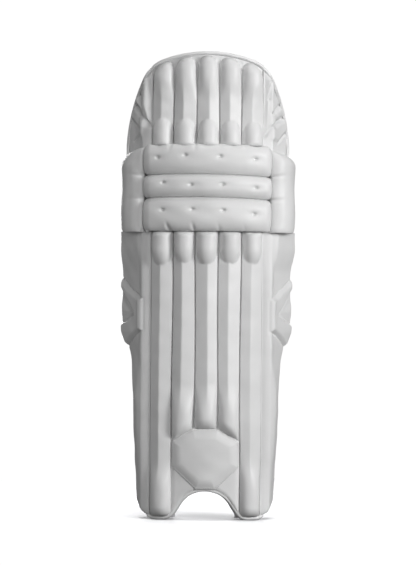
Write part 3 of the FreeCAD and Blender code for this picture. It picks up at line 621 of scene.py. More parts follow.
def thigh_roll(index):
    low = constant(UPPER_SEAM + JOIN)

    def high(x):
        return crown_z(x) - 5.5

    t, s, z = roll_grid(index, low, high, 110, THIGH)
    x = across_face(s)
    dome_start = UPPER_SEAM + 17.0 + (0, -2, -2, -3.5, -5)[index]
    base = round_roll(t, np.clip(z - dome_start, 0, None) / HEAD_END, 19.0)
    swell = smooth(630, 676, z - (0, 0, 3, 0, -8)[index])
    tip = np.clip(1 - (high(x) - z) / TIP_LENGTH, 0, 1)
    body = roof(t, CRESTS[index]) * (1 - swell) + round_roll(t, tip, 15.0) * swell
    h = soft_max(body, base, 1.4)
    h = h * (0.50 + 0.50 * dome(z - low(x), 6.0))
    h = h + lumps(s, z, 60 + index, 30) * 0.35 * (1 - t * t)
    finish_roll("thigh", "thigh_flap", THIGH, index, s, z, h)


for roll in range(ROLLS):
    shin_roll(roll)
    thigh_roll(roll)


# ---------------------------------------------------------------- wings

WING_FRONT, WING_BACK = 6.0, -12.0
RIDGE_AT, RIDGE, ROOT = 9.0, 10.5, 3.6
WING_START = -1.4
EMBOSS = 4.8

SHIN_MARK = [(79, 368), (50, 353), (26, 342), (7, 336), (7, 286), (26, 281), (48, 270), (62, 262), (79, 262),
             (79, 297), (34, 312), (79, 350)]
SHIN_NOTCH = [(95, 352), (34, 312), (95, 293)]


def wing_body(q, width, edge=9.0, front=WING_FRONT):
    """Front and back heights of a plain wing: an inward bevel, a ridge, a flat side and a rounded edge."""
    rise = ROOT + (RIDGE - ROOT) * np.clip(q / RIDGE_AT, 0, 1)
    fall = RIDGE + (front - RIDGE) * smooth(RIDGE_AT - 1, RIDGE_AT + 11, q)
    top = np.where(q < RIDGE_AT, rise, fall)
    middle = (front + WING_BACK) / 2
    round_off = dome(width - q, edge)
    round_back = 0.15 + 0.85 * dome(width - q, edge)
    return middle + (top - middle) * round_off, middle + (WING_BACK - middle) * round_back * round_off ** 0.3


def fullness(z, side):
    """How far the stuffing pushes a shin wing out: most at the ankle and beside the knee roll."""
    ankle = 5.5 * smooth(262, 190, z) * (0.10 + 0.90 * smooth(20, 190, z))
    knee = (4.0 if side < 0 else 7.5) * smooth(372, 415, z)
    return ankle + knee + 2.0


def finish_wing(section, wrap, side, name, q, z, front, back, link):
    """Makes a wing; the left one also stands for both covers and the bend's link."""
    surface = side * (FACE_HALF + q)
    piece = closed_panel(f"{section}_wing_{name}_leather", wrap, surface, z, front, back, COVER)
    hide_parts(f"{section}_wing_{name}", *([section + "_wing_covers", link] if side < 0 else []))
    return piece


def shin_wing(side, name):
    rows, columns = 240, 84
    u = np.linspace(0, 1, columns) * 0.5 + cosine_spread(0, 1, columns) * 0.5
    v = np.linspace(0, 1, rows)[:, None]
    high = LOWER_SEAM - JOIN
    z = 30 + v * (high - 30) + 0 * u
    for _ in range(4):
        q = WING_START + u * (SHIN.width(z) - WING_START)
        x = np.abs(SHIN.point(FACE_HALF + q, WING_FRONT, z)[..., 0])
        floor = foot_z(np.minimum(x, 104.5)) + 2.5
        z = floor + v * (high - floor)
    width = SHIN.width(z)
    q = WING_START + u * (width - WING_START)
    thin = smooth(20, 150, z)
    front, back = wing_body(q, width, front=WING_FRONT + fullness(z, side))
    front = front - (1 - thin) * 2.0 * smooth(0, 12, q)
    mark = from_outline(q, z, SHIN_MARK)
    raised = smooth(-0.5, 7.0, mark)
    groove = np.exp(-(mark / 1.3) ** 2) * smooth(3, 14, q)
    edge_fade = dome(width - q, 10.0)
    front = front + (EMBOSS * raised - 1.8 * groove) * edge_fade
    notch = from_outline(q, z, SHIN_NOTCH)
    front = front + 1.6 * smooth(2.0, 14.0, notch) * edge_fade
    front = front + lumps(q * 1.2, z, 80 + (side > 0), 46) * 0.55 * smooth(0, 20, q) * edge_fade
    bottom_round = dome(z - floor + 0.001, 8.0)
    middle = (front + back) / 2
    front = middle + (front - middle) * (0.35 + 0.65 * bottom_round)
    piece = finish_wing("shin", SHIN, side, name, q, z, front, back, "lower_bend_link")
    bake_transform(piece)


THIGH_GROOVES = {
    -1: [[(10.0, 672), (12.0, 629)], [(12.0, 629), (24, 645), (40, 662)],
         [(40, 634), (14, 617), (5, 606), (1, 597)], [(52, 613), (26, 596), (20, 589), (46, 577)]],
    1: [[(9, 672), (5, 640)], [(10, 619), (42, 636)],
        [(1, 584), (8, 599), (26, 607), (56, 617)], [(32, 574), (62, 594)]],
}
THIGH_BANDS = {
    -1: [[(1, 672), (10, 672), (12, 629), (5, 606), (1, 597)],
         [(12, 627), (40, 660), (60, 640), (42, 636), (14, 619)],
         [(2, 597), (14, 615), (42, 632), (56, 613), (26, 597), (18, 588), (10, 575)]],
    1: [[(1, 672), (9, 672), (5, 640), (3, 590)],
        [(10, 617), (42, 634), (60, 630), (56, 619), (26, 609), (9, 601)],
        [(9, 597), (26, 605), (56, 615), (62, 596), (32, 576), (6, 578)]],
}


WING_TUCK = 27.0
GROOVE = 2.4


def thigh_wing(side, name):
    rows, columns = 110, 84
    u = cosine_spread(0, 1, columns) * 0.8 + np.linspace(0, 1, columns) * 0.2
    v = np.linspace(0, 1, rows)[:, None]
    q = WING_START + u * (THIGH.width(600.0) - WING_START) + 0 * v
    x = np.abs(THIGH.point(FACE_HALF + q, WING_FRONT, 600.0)[..., 0])
    low = UPPER_SEAM + JOIN - WING_TUCK * smooth(-4, 8, q)
    high = np.maximum(crown_z(np.minimum(x, CROWN_END)) - 2.5, low + 0.5)
    z = low + v * (high - low)
    front, back = wing_body(q, THIGH.width(600.0), edge=6.0)
    rim = dome(high - z, 9.0) * dome(THIGH.width(600.0) - q, 8.0)
    shape = np.zeros(z.shape)
    for band in THIGH_BANDS[side]:
        raised = smooth(-1.0, 6.0, from_outline(q, z, band))
        shape = np.maximum(shape, raised * (4.0 if side < 0 else 3.2))
    for line in THIGH_GROOVES[side]:
        shape = shape - GROOVE * np.exp(-(to_line(q, z, line) / 1.8) ** 2)
    front = front + shape * rim + lumps(q * 1.2, z, 90 + (side > 0), 34) * 0.45 * smooth(0, 16, q) * rim
    middle = (front + back) / 2
    front = middle + (front - middle) * (0.45 + 0.55 * dome(high - z, 9.0))
    back = middle + (back - middle) * (0.45 + 0.55 * dome(high - z, 9.0))
    join_thigh(finish_wing("thigh", THIGH, side, name, q, z, front, back, "upper_bend_link"))


for side, side_name in SIDES:
    shin_wing(side, side_name)
    thigh_wing(side, side_name)


# ---------------------------------------------------------------- instep patch and fills

def face_grid(outline_low, outline_high, s_low, s_high, rows, columns):
    s = np.linspace(s_low, s_high, columns)
    x = across_face(s)
    v = np.linspace(0, 1, rows)[:, None]
    return s + 0 * v, x + 0 * v, outline_low(x) + v * (outline_high(x) - outline_low(x))


def patch_low(x):
    beyond = np.clip(np.abs(x) - PATCH_FOOT_HALF, 0, None)
    edge = PATCH_BOTTOM + beyond * (PATCH_LOW - PATCH_BOTTOM) / (PATCH_HALF - PATCH_FOOT_HALF)
    return np.maximum(edge, foot_z(x) + 3)


def instep_patch():
    s, x, z = face_grid(patch_low, patch_high, -52.0, 52.0, 110, 120)
    edge = np.maximum(from_outline(x, z, PATCH), 0)
    h = soft_min(4.6 + edge * 0.46, 9.8 + 0.6 * np.cos(x / 45) + 0 * edge, 2.4)
    h = h * (0.35 + 0.65 * dome(edge, 2.5)) + lumps(x, z, 5, 40) * 0.25
    piece = closed_panel("instep_patch_leather", SHIN, s, z, h, BASE, COVER)
    fit(piece, "shin_guard", "cover", "instep_patch", fill=0.8)


def instep_fills():
    def low(x):
        return foot_z(x) + 4.0

    def high(x):
        return np.maximum(patch_low(x) + 1.5, foot_z(x) + 4.5)

    for side, name in SIDES:
        ends = sorted((side * 16.0, side * 51.8))
        s, x, z = face_grid(low, high, ends[0], ends[1], 60, 60)
        gap = np.minimum(z - low(x), 52 - np.abs(x))
        h = 1.0 + 4.0 * dome(gap, 9.0) + lumps(x, z, 9 + side, 26) * 0.2
        piece = closed_panel(f"instep_fill_{name}", SHIN, s, z, h, BASE, COVER)
        fit(piece, "shin_guard", "cover", *(["instep_fills"] if side < 0 else []), fill=0.5)


instep_patch()
instep_fills()


# ---------------------------------------------------------------- knee roll

KNEE_LOW, KNEE_HIGH = LOWER_SEAM + JOIN, UPPER_SEAM - JOIN
KNEE_END = 93.5
VALLEY, BOLSTER = 14.0, 27.0
ROWS = ((KNEE_LOW, 489.5), (489.5, 524.3), (524.3, KNEE_HIGH + 2.5))
TUFTS = ((-68.5, 549.0), (-30.5, 552.5), (16.5, 551.0), (64.5, 547.6),
         (-60.5, 511.0), (-22.5, 508.0), (20.0, 509.0), (66.0, 504.0),
         (-61.5, 470.0), (-20.5, 471.0), (21.0, 469.6), (63.5, 464.6))


def row_sag(s):
    """The seams between the level bolsters drop a little towards their ends."""
    return 2.6 * (s / KNEE_END) ** 2 + 0.8 * (s / KNEE_END)


def tuft_dip(s, z):
    dip = np.zeros(np.broadcast(s, z).shape)
    for ts, tz in TUFTS:
        dz = z - tz
        ds = s - ts
        knot = 3.6 * np.exp(-(ds / 2.6) ** 2 - (dz / 1.9) ** 2)
        dip += knot + 1.1 * np.exp(-(ds / 9.0) ** 2 - (dz / 5.0) ** 2)
    return dip


# Place along the knee roll of each seam between the upright rolls, and how deep it presses in from below.
ROLL_SEAM_DENTS = {-52.2: 4.0, -17.4: 3.2, 17.4: 1.4, 52.2: 0.8}


def knee_bolster(index):
    low, high = ROWS[index]
    s = cosine_spread(-KNEE_END, KNEE_END, 190) * 0.25 + np.linspace(-KNEE_END, KNEE_END, 190) * 0.75
    tau = np.linspace(-1, 1, 64)[:, None]
    tau = np.sign(tau) * (1 - (1 - np.abs(tau)) ** 1.5)
    end = dome(KNEE_END - np.abs(s), 15.0)
    half = (high - low) / 2 * (0.90 + 0.10 * end)
    z = (low + high) / 2 + tau * half - (row_sag(s) if index < 2 else row_sag(s) * (1 - 0.3 * (tau > 0)))
    z = np.maximum(z, KNEE_LOW) if index == 0 else z
    if index == 2:
        z = z - 1.1 * np.cos(2 * math.pi * s / ROLL_PITCH) * smooth(0.3, 1, tau) * end
    crown = np.clip(1 - np.abs(tau) ** 2.8, 0, 1) ** 0.55
    h = (VALLEY + (BOLSTER - VALLEY) * crown) * (0.50 + 0.50 * end) - tuft_dip(s, z)
    if index == 0:
        for seam, depth in ROLL_SEAM_DENTS.items():
            dent = depth * np.exp(-((s - seam + (z - low) * 0.25) / 2.6) ** 2)
            h = h - dent * np.exp(-((z - low) / 9.0) ** 2)
    if index == 2:
        for seam in ROLL_SEAM_DENTS:
            h = h - 1.6 * np.exp(-((s - seam) / 3.0) ** 2) * np.exp(-((z - high) / 7.0) ** 2)
    h = h + lumps(s, z, 20 + index, 40) * 0.5
    name = SECTION_ROWS[index]
    piece = closed_panel(f"knee_bolster_{name}_leather", KNEE, s + 0 * z, z, h, BASE + 0 * z, COVER)
    nodes = ["knee_bolster_" + name] + (["knee_bolster_filling"] if index == 1 else [])
    fit(piece, "knee_roll", "cover", *nodes, fill=0.85)


def closed_spline(points, count):
    """Smooth closed curve through points."""
    points = np.asarray(points, float)
    n = len(points)
    out = []
    for k in np.linspace(0, n, count, endpoint=False):
        i, t = int(k), k - int(k)
        a, b, c, d = (points[(i + j) % n] for j in (-1, 0, 1, 2))
        out.append(0.5 * (2 * b + (c - a) * t + (2 * a - 5 * b + 4 * c - d) * t * t
                          + (3 * b - a - 3 * c + d) * t ** 3))
    return np.array(out)


SIDE_SECTION = [(95.0, 16.0), (96.5, 11.0), (101.0, 8.2), (108.5, 8.6), (118.0, 14.0), (126.5, 26.0),
                (131.2, 42.0), (131.0, 58.0), (128.0, 72.0), (123.0, 77.5), (116.5, 76.0), (112.5, 64.0),
                (107.0, 48.0), (100.0, 37.0), (94.5, 31.0), (93.5, 23.0)]


SIDE_LOW = KNEE_LOW - 1.6


def knee_side(side, name):
    base = closed_spline(SIDE_SECTION, 96)
    rows = 120
    corner = (34.0, 31.0) if side < 0 else (30.0, 22.0)
    rings = []
    top = UPPER_SEAM - 1.0 if side < 0 else UPPER_SEAM - 4.0
    for v in cosine_spread(0, 1, rows):
        z = SIDE_LOW + v * (top - SIDE_LOW)
        to_top, to_bottom = top - z, z - SIDE_LOW
        across = 0.16 + 0.84 * dome(to_top, corner[1]) * (0.90 + 0.10 * dome(to_bottom, 9.0))
        wave = 1 + 0.018 * math.cos((z - 466) / 12.5)
        ring = base.copy()
        share = np.clip((ring[:, 0] - 95) / (131 - 95), 0, 1)
        depth = np.clip((ring[:, 1] - 8) / 30, 0, 1)
        ring[:, 0] = 95 + (ring[:, 0] - 95) * across * wave * (1.0 if side < 0 else 1.07)
        thin = (0.45 + 0.55 * dome(to_top, 16.0)) * (0.80 + 0.20 * dome(to_bottom, 8.0))
        ring[:, 1] = 22 + (ring[:, 1] - 22) * thin
        for seam, rise in ((486.5, 1.0), (521.3, 5.0)):
            crease = (z - seam - rise * share) / (1.8 + 2.5 * share)
            ring[:, 1] += 3.2 * np.exp(-crease ** 2 - share * 2.6) * (1 - depth)
        bump_in = lumps(ring[:, 1] + ring[:, 0], np.full(len(ring), z), 30 + (side > 0), 42)
        ring[:, 1] -= 0.6 * bump_in * (1 - depth)
        droop = 2.0 * share if side < 0 else 3.5 * share
        rings.append(np.stack([side * ring[:, 0], ring[:, 1] + FACE_Y, z - droop * smooth(510, 560, z)], -1))
    faces = tube_faces(rows, len(base))
    piece = mesh_piece(f"knee_side_{name}_leather", np.concatenate(rings), faces, COVER)
    fit(piece, "knee_roll", "cover", "knee_side_bolster_" + name, fill=0.85)


KNOT_SIDES = 8
# Radius of each ring of a knot, and how far it stands out.
KNOT_RINGS = ((1.7, -1.0), (1.9, 0.0), (1.2, 0.8), (0.2, 1.0))


def tufts():
    """Knotted thread at the bottom of each dimple."""
    points, faces = [], []
    depth = BOLSTER - 5.6
    for s, z in TUFTS:
        faces += tube_faces(len(KNOT_RINGS), KNOT_SIDES, len(points))
        for radius, lift in KNOT_RINGS:
            for a in np.linspace(0, 2 * math.pi, KNOT_SIDES, endpoint=False):
                place = (s + radius * 1.3 * math.cos(a), z + radius * 0.8 * math.sin(a))
                points.append(KNEE.point(place[0], depth + lift, place[1]))
    fit(mesh_piece("knee_tuft_threads", points, faces, THREAD), "knee_roll", "thread", "knee_tufts")


for row in range(3):
    knee_bolster(row)
for side, side_name in SIDES:
    knee_side(side, side_name)
tufts()


# ---------------------------------------------------------------- webs that close the two bends

WEB_REACH = 9.0


def bend_web(name, wrap, seam):
    """Cloth behind the seam between two sections."""
    s = np.linspace(-FACE_HALF - 6, FACE_HALF + 6, 120)
    z = np.linspace(seam - WEB_REACH, seam + WEB_REACH, 26)[:, None]
    fold = 0.25 * np.cos(s / 1.7) * np.cos((z - seam) / WEB_REACH * math.pi / 2)
    piece = closed_panel(name, wrap, s + 0 * z, z + 0 * s, 0.35 + fold, -1.6 + 0 * fold, COVER)
    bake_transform(piece)


bend_web("lower_bend_web", SHIN, LOWER_SEAM)
bend_web("upper_bend_web", THIGH, UPPER_SEAM)


# ---------------------------------------------------------------- visible seams


def wing_seam_stitches(section, body, wrap, side, name, z):
    s = side * (FACE_HALF + 0.6 + 0 * z)
    row = wrap.point(s, 4.0, z)
    fit(stitches(f"{section}_seam_stitches_{name}", row, wrap.normal(s, 4.0, z)), body, "thread")


def seam_stitches():
    for side, name in SIDES:
        wing_seam_stitches("shin", "shin_guard", SHIN, side, name, np.linspace(62, LOWER_SEAM - 4, 260))
        wing_seam_stitches("thigh", "thigh_flap", THIGH, side, name, np.linspace(UPPER_SEAM + 3, 664, 90))
    corners = np.array(PATCH + PATCH[:1])
    middle = np.array([0.0, 95.0])
    corners = middle + (corners - middle) * 0.93
    steps = np.concatenate([a + (b - a) * np.linspace(0, 1, 20, endpoint=False)[:, None]
                            for a, b in zip(corners, corners[1:])])
    s = FACE_RADIUS * np.arcsin(steps[:, 0] / FACE_RADIUS)
    lift, z = 6.2, steps[:, 1]
    fit(stitches("patch_stitches", SHIN.point(s, lift, z), SHIN.normal(s, lift, z)), "shin_guard", "thread")


seam_stitches()


# ---------------------------------------------------------------- bindings

BINDING = [(-5.5, 0.2), (-5.5, 1.6), (-3.6, 2.9), (-1.4, 2.7), (-0.2, 1.2), (0.0, -2.0), (0.0, -SLAB + 3),
           (-0.3, -SLAB - 0.6), (-2.0, -SLAB - 1.8), (-4.6, -SLAB - 1.5), (-5.2, -SLAB - 0.3),
           (-2.0, -SLAB + 1), (-1.6, -1.5)]


def s_of_x(wrap, x, h, z):
    """Place along the surface with a given x, at a height above it."""
    turn = wrap.turn(z)
    a = np.abs(x)
    on_face = wrap.half
    face = FACE_RADIUS * np.arcsin(np.clip(a / FACE_RADIUS, 0, 1))
    bend_end = wrap.cx + (BEND_RADIUS + h) * np.sin(turn)
    angle = np.arcsin(np.clip((a - wrap.cx) / (BEND_RADIUS + h), -1, 1))
    bend = wrap.half + BEND_RADIUS * (np.minimum(angle, turn) - wrap.root)
    run = np.maximum(a - bend_end, 0) / np.cos(turn)
    return np.sign(x) * np.where(face < on_face, face, np.maximum(bend, on_face) + run)


FOOT_BINDING_END = 96.0


def foot_binding():
    half = np.concatenate([np.linspace(0, 78, 130), np.linspace(78, FOOT_BINDING_END, 60)[1:]])
    x = np.concatenate([-half[::-1], half[1:]])
    z = foot_z(x) - 0.1
    h = 2.6 * smooth(80, 92, np.abs(x))
    s = s_of_x(SHIN, x, h, z)
    centres, sides, normals = path_frame(SHIN, s, h, z)
    inner = np.array([-5.0, -6.0])
    share = 0.25 + 0.75 * smooth(FOOT_BINDING_END, FOOT_BINDING_END - 12, np.abs(x))
    section = inner + (np.array(BINDING) - inner) * share[:, None, None]
    piece = sweep("foot_binding", centres, sides, normals, section)
    fit(piece, "shin_guard", "piping", "shin_piping")
    on_face = np.abs(x) < 80
    row = (centres + normals * 3.2 - sides * 4.6)[on_face]
    fit(stitches("foot_binding_stitches", row, normals[on_face]), "shin_guard", "thread")


BINDING_LIFT = 1.0


def crown_path(count=260):
    """(s, z, height) along the thigh flap's edge, and down behind the knee roll at both ends."""
    half = CROWN_END * np.sin(np.linspace(0, math.pi / 2, count // 2))
    x = np.concatenate([-half[::-1], half[1:]])
    z = np.maximum(crown_z(x), UPPER_SEAM)
    h = 1.5 + 4.5 * smooth(86, 97, np.abs(x))
    s = s_of_x(THIGH, x, h, z)
    down = np.linspace(2, WING_TUCK - 2, 12)
    s = np.concatenate([0 * down + s[0], s, 0 * down + s[-1]])
    z = np.concatenate([(z[0] - down)[::-1], z, z[-1] - down])
    h = np.concatenate([0 * down + h[0], h, 0 * down + h[-1]])
    return s, z + BINDING_LIFT, h


def crown_binding():
    s, z, h = crown_path()
    centres, sides, normals = path_frame(THIGH, s, 0 * s, z, outward_sign=-1.0)
    sections = []
    for lift in h:
        front = lift + 0.8
        back = -SLAB + (SLAB + WING_BACK) * (lift - 1.5) / 4.5
        sections.append([(-5.2, front - 1.2), (-5.0, front), (-3.4, front + 1.6), (-1.3, front + 1.4),
                         (-0.1, front - 0.2), (0.0, front - 3), (0.0, back + 3), (-0.3, back - 0.4),
                         (-2.0, back - 1.5), (-4.4, back - 1.2), (-5.0, back), (-2.0, back + 1.2),
                         (-1.7, front - 3)])
    binding = sweep("crown_binding", centres, sides, normals, sections)
    row = centres + normals * (h[:, None] + 1.6) - sides * 4.4
    thread = stitches("crown_binding_stitches", row, normals)
    for piece, slot in ((binding, "piping"), (thread, "thread")):
        join_thigh(piece)
    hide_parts("thigh_piping")


EDGE_TAPE = [(-5.0, -SLAB + 0.6), (-5.0, -SLAB - 0.9), (-1.0, -SLAB - 1.3), (0.6, -SLAB - 0.3),
             (0.9, -SLAB + 3), (0.9, -1.8), (-0.6, -1.8), (-0.6, -SLAB + 0.6)]


def edge_tape(name, wrap, s, z, body, sign):
    """Tape sewn over a straight edge of a section's slab."""
    s, z = np.broadcast_arrays(s, z)
    centres, sides, normals = path_frame(wrap, s.astype(float), 0.0, z.astype(float), outward_sign=sign)
    fit(sweep(name, centres, sides, normals, EDGE_TAPE), body, "piping")


def edge_tapes():
    low_edge, high_edge = SEAM_GAP / 2, -SEAM_GAP / 2
    across = np.linspace(-FACE_HALF, FACE_HALF, 70)
    knee_across = np.linspace(-KNEE.half, KNEE.half, 80)
    edge_tape("shin_top_tape", SHIN, across, LOWER_SEAM + high_edge, "shin_guard", -1.0)
    edge_tape("knee_low_tape", KNEE, knee_across, LOWER_SEAM + low_edge, "knee_roll", 1.0)
    edge_tape("knee_top_tape", KNEE, knee_across, UPPER_SEAM + high_edge, "knee_roll", -1.0)
    edge_tape("thigh_low_tape", THIGH, across, UPPER_SEAM + low_edge, "thigh_flap", 1.0)
    rise = np.linspace(LOWER_SEAM + low_edge, UPPER_SEAM + high_edge, 40)
    edge_tape("knee_left_tape", KNEE, -KNEE.half - 0.2, rise, "knee_roll", -1.0)
    edge_tape("knee_right_tape", KNEE, KNEE.half + 0.2, rise, "knee_roll", 1.0)


edge_tapes()
foot_binding()
crown_binding()


# ---------------------------------------------------------------- slab, linings and inner padding


QUILT_PITCH, QUILT_DEPTH = 17.4, 0.35
LINING_COLUMNS = 140


def slab_lining(name, wrap, half, low, high, body, rows=80):
    """Lining on the leg side of a section, quilted with shallow upright channels."""
    s = np.linspace(-half, half, LINING_COLUMNS)
    x = across_face(s)
    v = np.linspace(0, 1, rows)[:, None]
    z = low(x) + v * (high(x) - low(x))
    quilt = QUILT_DEPTH * np.cos(2 * math.pi * s / QUILT_PITCH)
    depth = -SLAB - quilt + lumps(s, z, 70, 24) * 0.15
    piece = closed_panel(name + "_lining_cloth", wrap, s + 0 * z, z, -SLAB + 1.4 + 0 * z, depth, LINING)
    float(np.max(high(x)) - np.min(low(x))) * MM
    fit(piece, body, "lining", name + "_lining")


slab_lining("shin", SHIN, LINING_HALF,
            lambda x: foot_z(x) + 1.5, constant(LOWER_SEAM - 2.0), "shin_guard", 200)
slab_lining("knee", KNEE, 98.8, constant(LOWER_SEAM + 2.0), constant(UPPER_SEAM - 2.0), "knee_roll")
slab_lining("thigh", THIGH, LINING_HALF, constant(UPPER_SEAM + 2.0), lambda x: crown_z(x) - 1.5, "thigh_flap")


LEG_SIDE = -SLAB - 0.6


def inner_panel(name, wrap, s, z, depth):
    """Padding that stands out by depth from the slab's leg side."""
    return closed_panel(name, wrap, s + 0 * z, z + 0 * s, LEG_SIDE + 0 * depth,
                        LEG_SIDE - np.maximum(depth, 0.4), INNER)


def pillow(name, wrap, s_range, z_range, thick, body, nodes=(), channels=1, seed=1):
    """Stuffed pad on the leg side, with its seams pulled in. channels counts its upright tubes."""
    (s0, s1), (z0, z1) = s_range, z_range
    s = np.linspace(s0, s1, 70)
    z = np.linspace(z0, z1, max(50, int((z1 - z0) / 2.5)))[:, None]
    share = (s - s0) / (s1 - s0) * channels
    tube = np.abs(np.sin(math.pi * share)) ** 0.55
    ends = dome(z - z0, 14.0) * dome(z1 - z, 14.0)
    ripple = 0.5 * np.sin(z / 7.0 + 2 * np.sin(s / 9.0)) * (1 - tube) + lumps(s, z, seed, 26) * 0.5
    depth = 0.8 + (thick - 0.8) * tube * (0.12 + 0.88 * ends) + ripple * ends
    fit(inner_panel(name, wrap, s, z, depth), body, "inner_padding", *nodes, fill=0.8)


for side, side_name in SIDES:
    ends = sorted((side * 16.5, side * 76.5))
    pillow(f"shin_inner_bolster_{side_name}", SHIN, ends, (75.0, 418.5), 22.0, "shin_guard",
           ["shin_bolsters"] if side < 0 else [], seed=11 + side)
    ends = sorted((side * 49.5, side * 84.5))
    s_mid = sum(ends) / 2
    bottom = float(foot_z(across_face(s_mid))) + 2.0
    pillow(f"ankle_pad_{side_name}", SHIN, ends, (bottom, 68.0), 16.0, "shin_guard",
           ["ankle_pads"] if side < 0 else [], seed=21 + side)
pillow("thigh_inner_pad", THIGH, (-73.0, 73.0), (UPPER_SEAM + 21.5, 672.0), 12.0, "thigh_flap",
       ["thigh_pad"], channels=4, seed=31)


CUP_HALF = 76.5
CUP_GAP = 2


def knee_cup():
    low, high = cad("knee_cup_bolsters")[0][2], cad("knee_cup_bolsters")[1][2]
    step = (high - low + CUP_GAP) / 3
    for row, name in enumerate(SECTION_ROWS):
        z0, z1 = low + row * step, low + row * step + step - CUP_GAP
        s = np.linspace(-CUP_HALF, CUP_HALF, 120)
        tau = np.linspace(-1, 1, 36)[:, None]
        z = (z0 + z1) / 2 + tau * (z1 - z0) / 2
        tube = np.sqrt(np.clip(1 - tau ** 2, 0, 1)) ** 0.9
        stuffed = 14.0 * tube * dome(CUP_HALF - np.abs(s), 14.0)
        depth = 0.6 + stuffed + lumps(s, z, 45 + row, 24) * 0.4 * tube
        piece = inner_panel(f"knee_cup_{name}", KNEE, s, z, depth)
        fit(piece, "knee_roll", "inner_padding", *(["knee_cup_bolsters"] if row == 0 else []), fill=0.85)


knee_cup()


# ---------------------------------------------------------------- straps

WEB = 2.5
STRAP_REACH = math.radians(24.0)
STITCH_MARGIN = 3.0
PAD_START, PAD_LENGTH, PAD_THICKNESS = 24.0, 88.0, 7.0


def strap_curve(name):
    """Centre and radius of a strap's loop, from its hinge and its furthest point."""
    joint = next(j for j in frame["joints"] if j["name"] == name + "_strap_open")
    hinge = np.array(joint["pos_m"][:2]) / MM
    far = cad(name + "_strap")[1][1] - WEB / 2
    sag = far - hinge[1]
    radius = (hinge[0] ** 2 + sag ** 2) / (2 * sag)
    return (0.0, far - radius), radius, math.atan2(-hinge[0], hinge[1] - (far - radius))


def band_piece(name, centre, inner, outer, first, last, low, high, material, rim=0.6, columns=90):
    """Curved band behind the leg with softened edges. Angles run from straight back towards +X."""
    angles = np.linspace(first, last, columns)
    v = np.array([0, 0.02, 0.06, 0.2, 0.4, 0.6, 0.8, 0.94, 0.98, 1.0])
    z = low + (high - low) * v
    pull = rim * (1 - dome(np.minimum(v, 1 - v) * (high - low), 3.0))
    profile = [(outer - p, h) for p, h in zip(pull, z)] + [(inner + p, h) for p, h in zip(pull, z)][::-1]
    points = [(centre[0] + math.sin(a) * r, centre[1] + math.cos(a) * r, h)
              for a in angles for r, h in profile]
    return mesh_piece(name, points, tube_faces(columns, len(profile)), material)


def strap(name):
    centre, radius, end = strap_curve(name)
    low, high = cad(name + "_strap")[0][2], cad(name + "_strap")[1][2]
    reach = STRAP_REACH
    body = name + "_strap"
    web = band_piece(name + "_strap_webbing", centre, radius - WEB / 2, radius + WEB / 2, -end, reach,
                     low, high, WEBBING)
    fit(web, body, "webbing", body)
    for edge, label in ((low + STITCH_MARGIN, "low"), (high - STITCH_MARGIN, "high")):
        angles = np.linspace(-end + 0.05, reach - 0.03, 200)
        d = np.stack([np.sin(angles), np.cos(angles), 0 * angles], -1)
        row = np.array([centre[0], centre[1], edge]) + d * (radius + WEB / 2)
        fit(stitches(f"{name}_strap_stitches_{label}", row, d), body, "thread")
    if name + "_strap_pad" in frame["nodes"]:
        start = PAD_START / radius - end
        stop = start + PAD_LENGTH / radius
        inside_web = radius - WEB / 2
        pad = band_piece(name + "_strap_padding", centre, inside_web - PAD_THICKNESS, inside_web - 0.3,
                         start, stop,
                         low + 2.5, high - 2.5, INNER, rim=2.6, columns=50)
        fit(pad, body, "inner_padding", name + "_strap_pad", fill=0.6)


for strap_name in ("knee", "calf", "ankle"):
    strap(strap_name)


# ---------------------------------------------------------------- CAD nodes that stay

STAYING = {"shin_canes": CANE, "thigh_canes": CANE, "shin_core": FOAM, "knee_core": FOAM, "thigh_core": FOAM,
           "shin_facing": COVER, "knee_facing": COVER, "thigh_facing": COVER,
           "knee_hook_tape": HOOK, "calf_hook_tape": HOOK, "ankle_hook_tape": HOOK,
           "knee_strap_loop_tape": LOOP, "shin_strap_loop_tapes": LOOP,
           "knee_strap_tab": WEBBING, "shin_strap_tabs": WEBBING,
           "knee_strap_anchor": WEBBING, "shin_strap_anchors": WEBBING}
for name, material in STAYING.items():
    slots = frame["nodes"][name].data.materials
    slots.clear()
    slots.append(material)


# ---------------------------------------------------------------- stage, lights and camera

STAGE_RADIUS = 9.0
FLOOR_LIT, FLOOR_WHITE = 0.30, 0.80
BACKDROP_GLOW = 1.02


def hide_from_bounce(piece):
    piece.visible_diffuse = False
    piece.visible_glossy = False
    piece.visible_transmission = False
    piece.visible_shadow = False


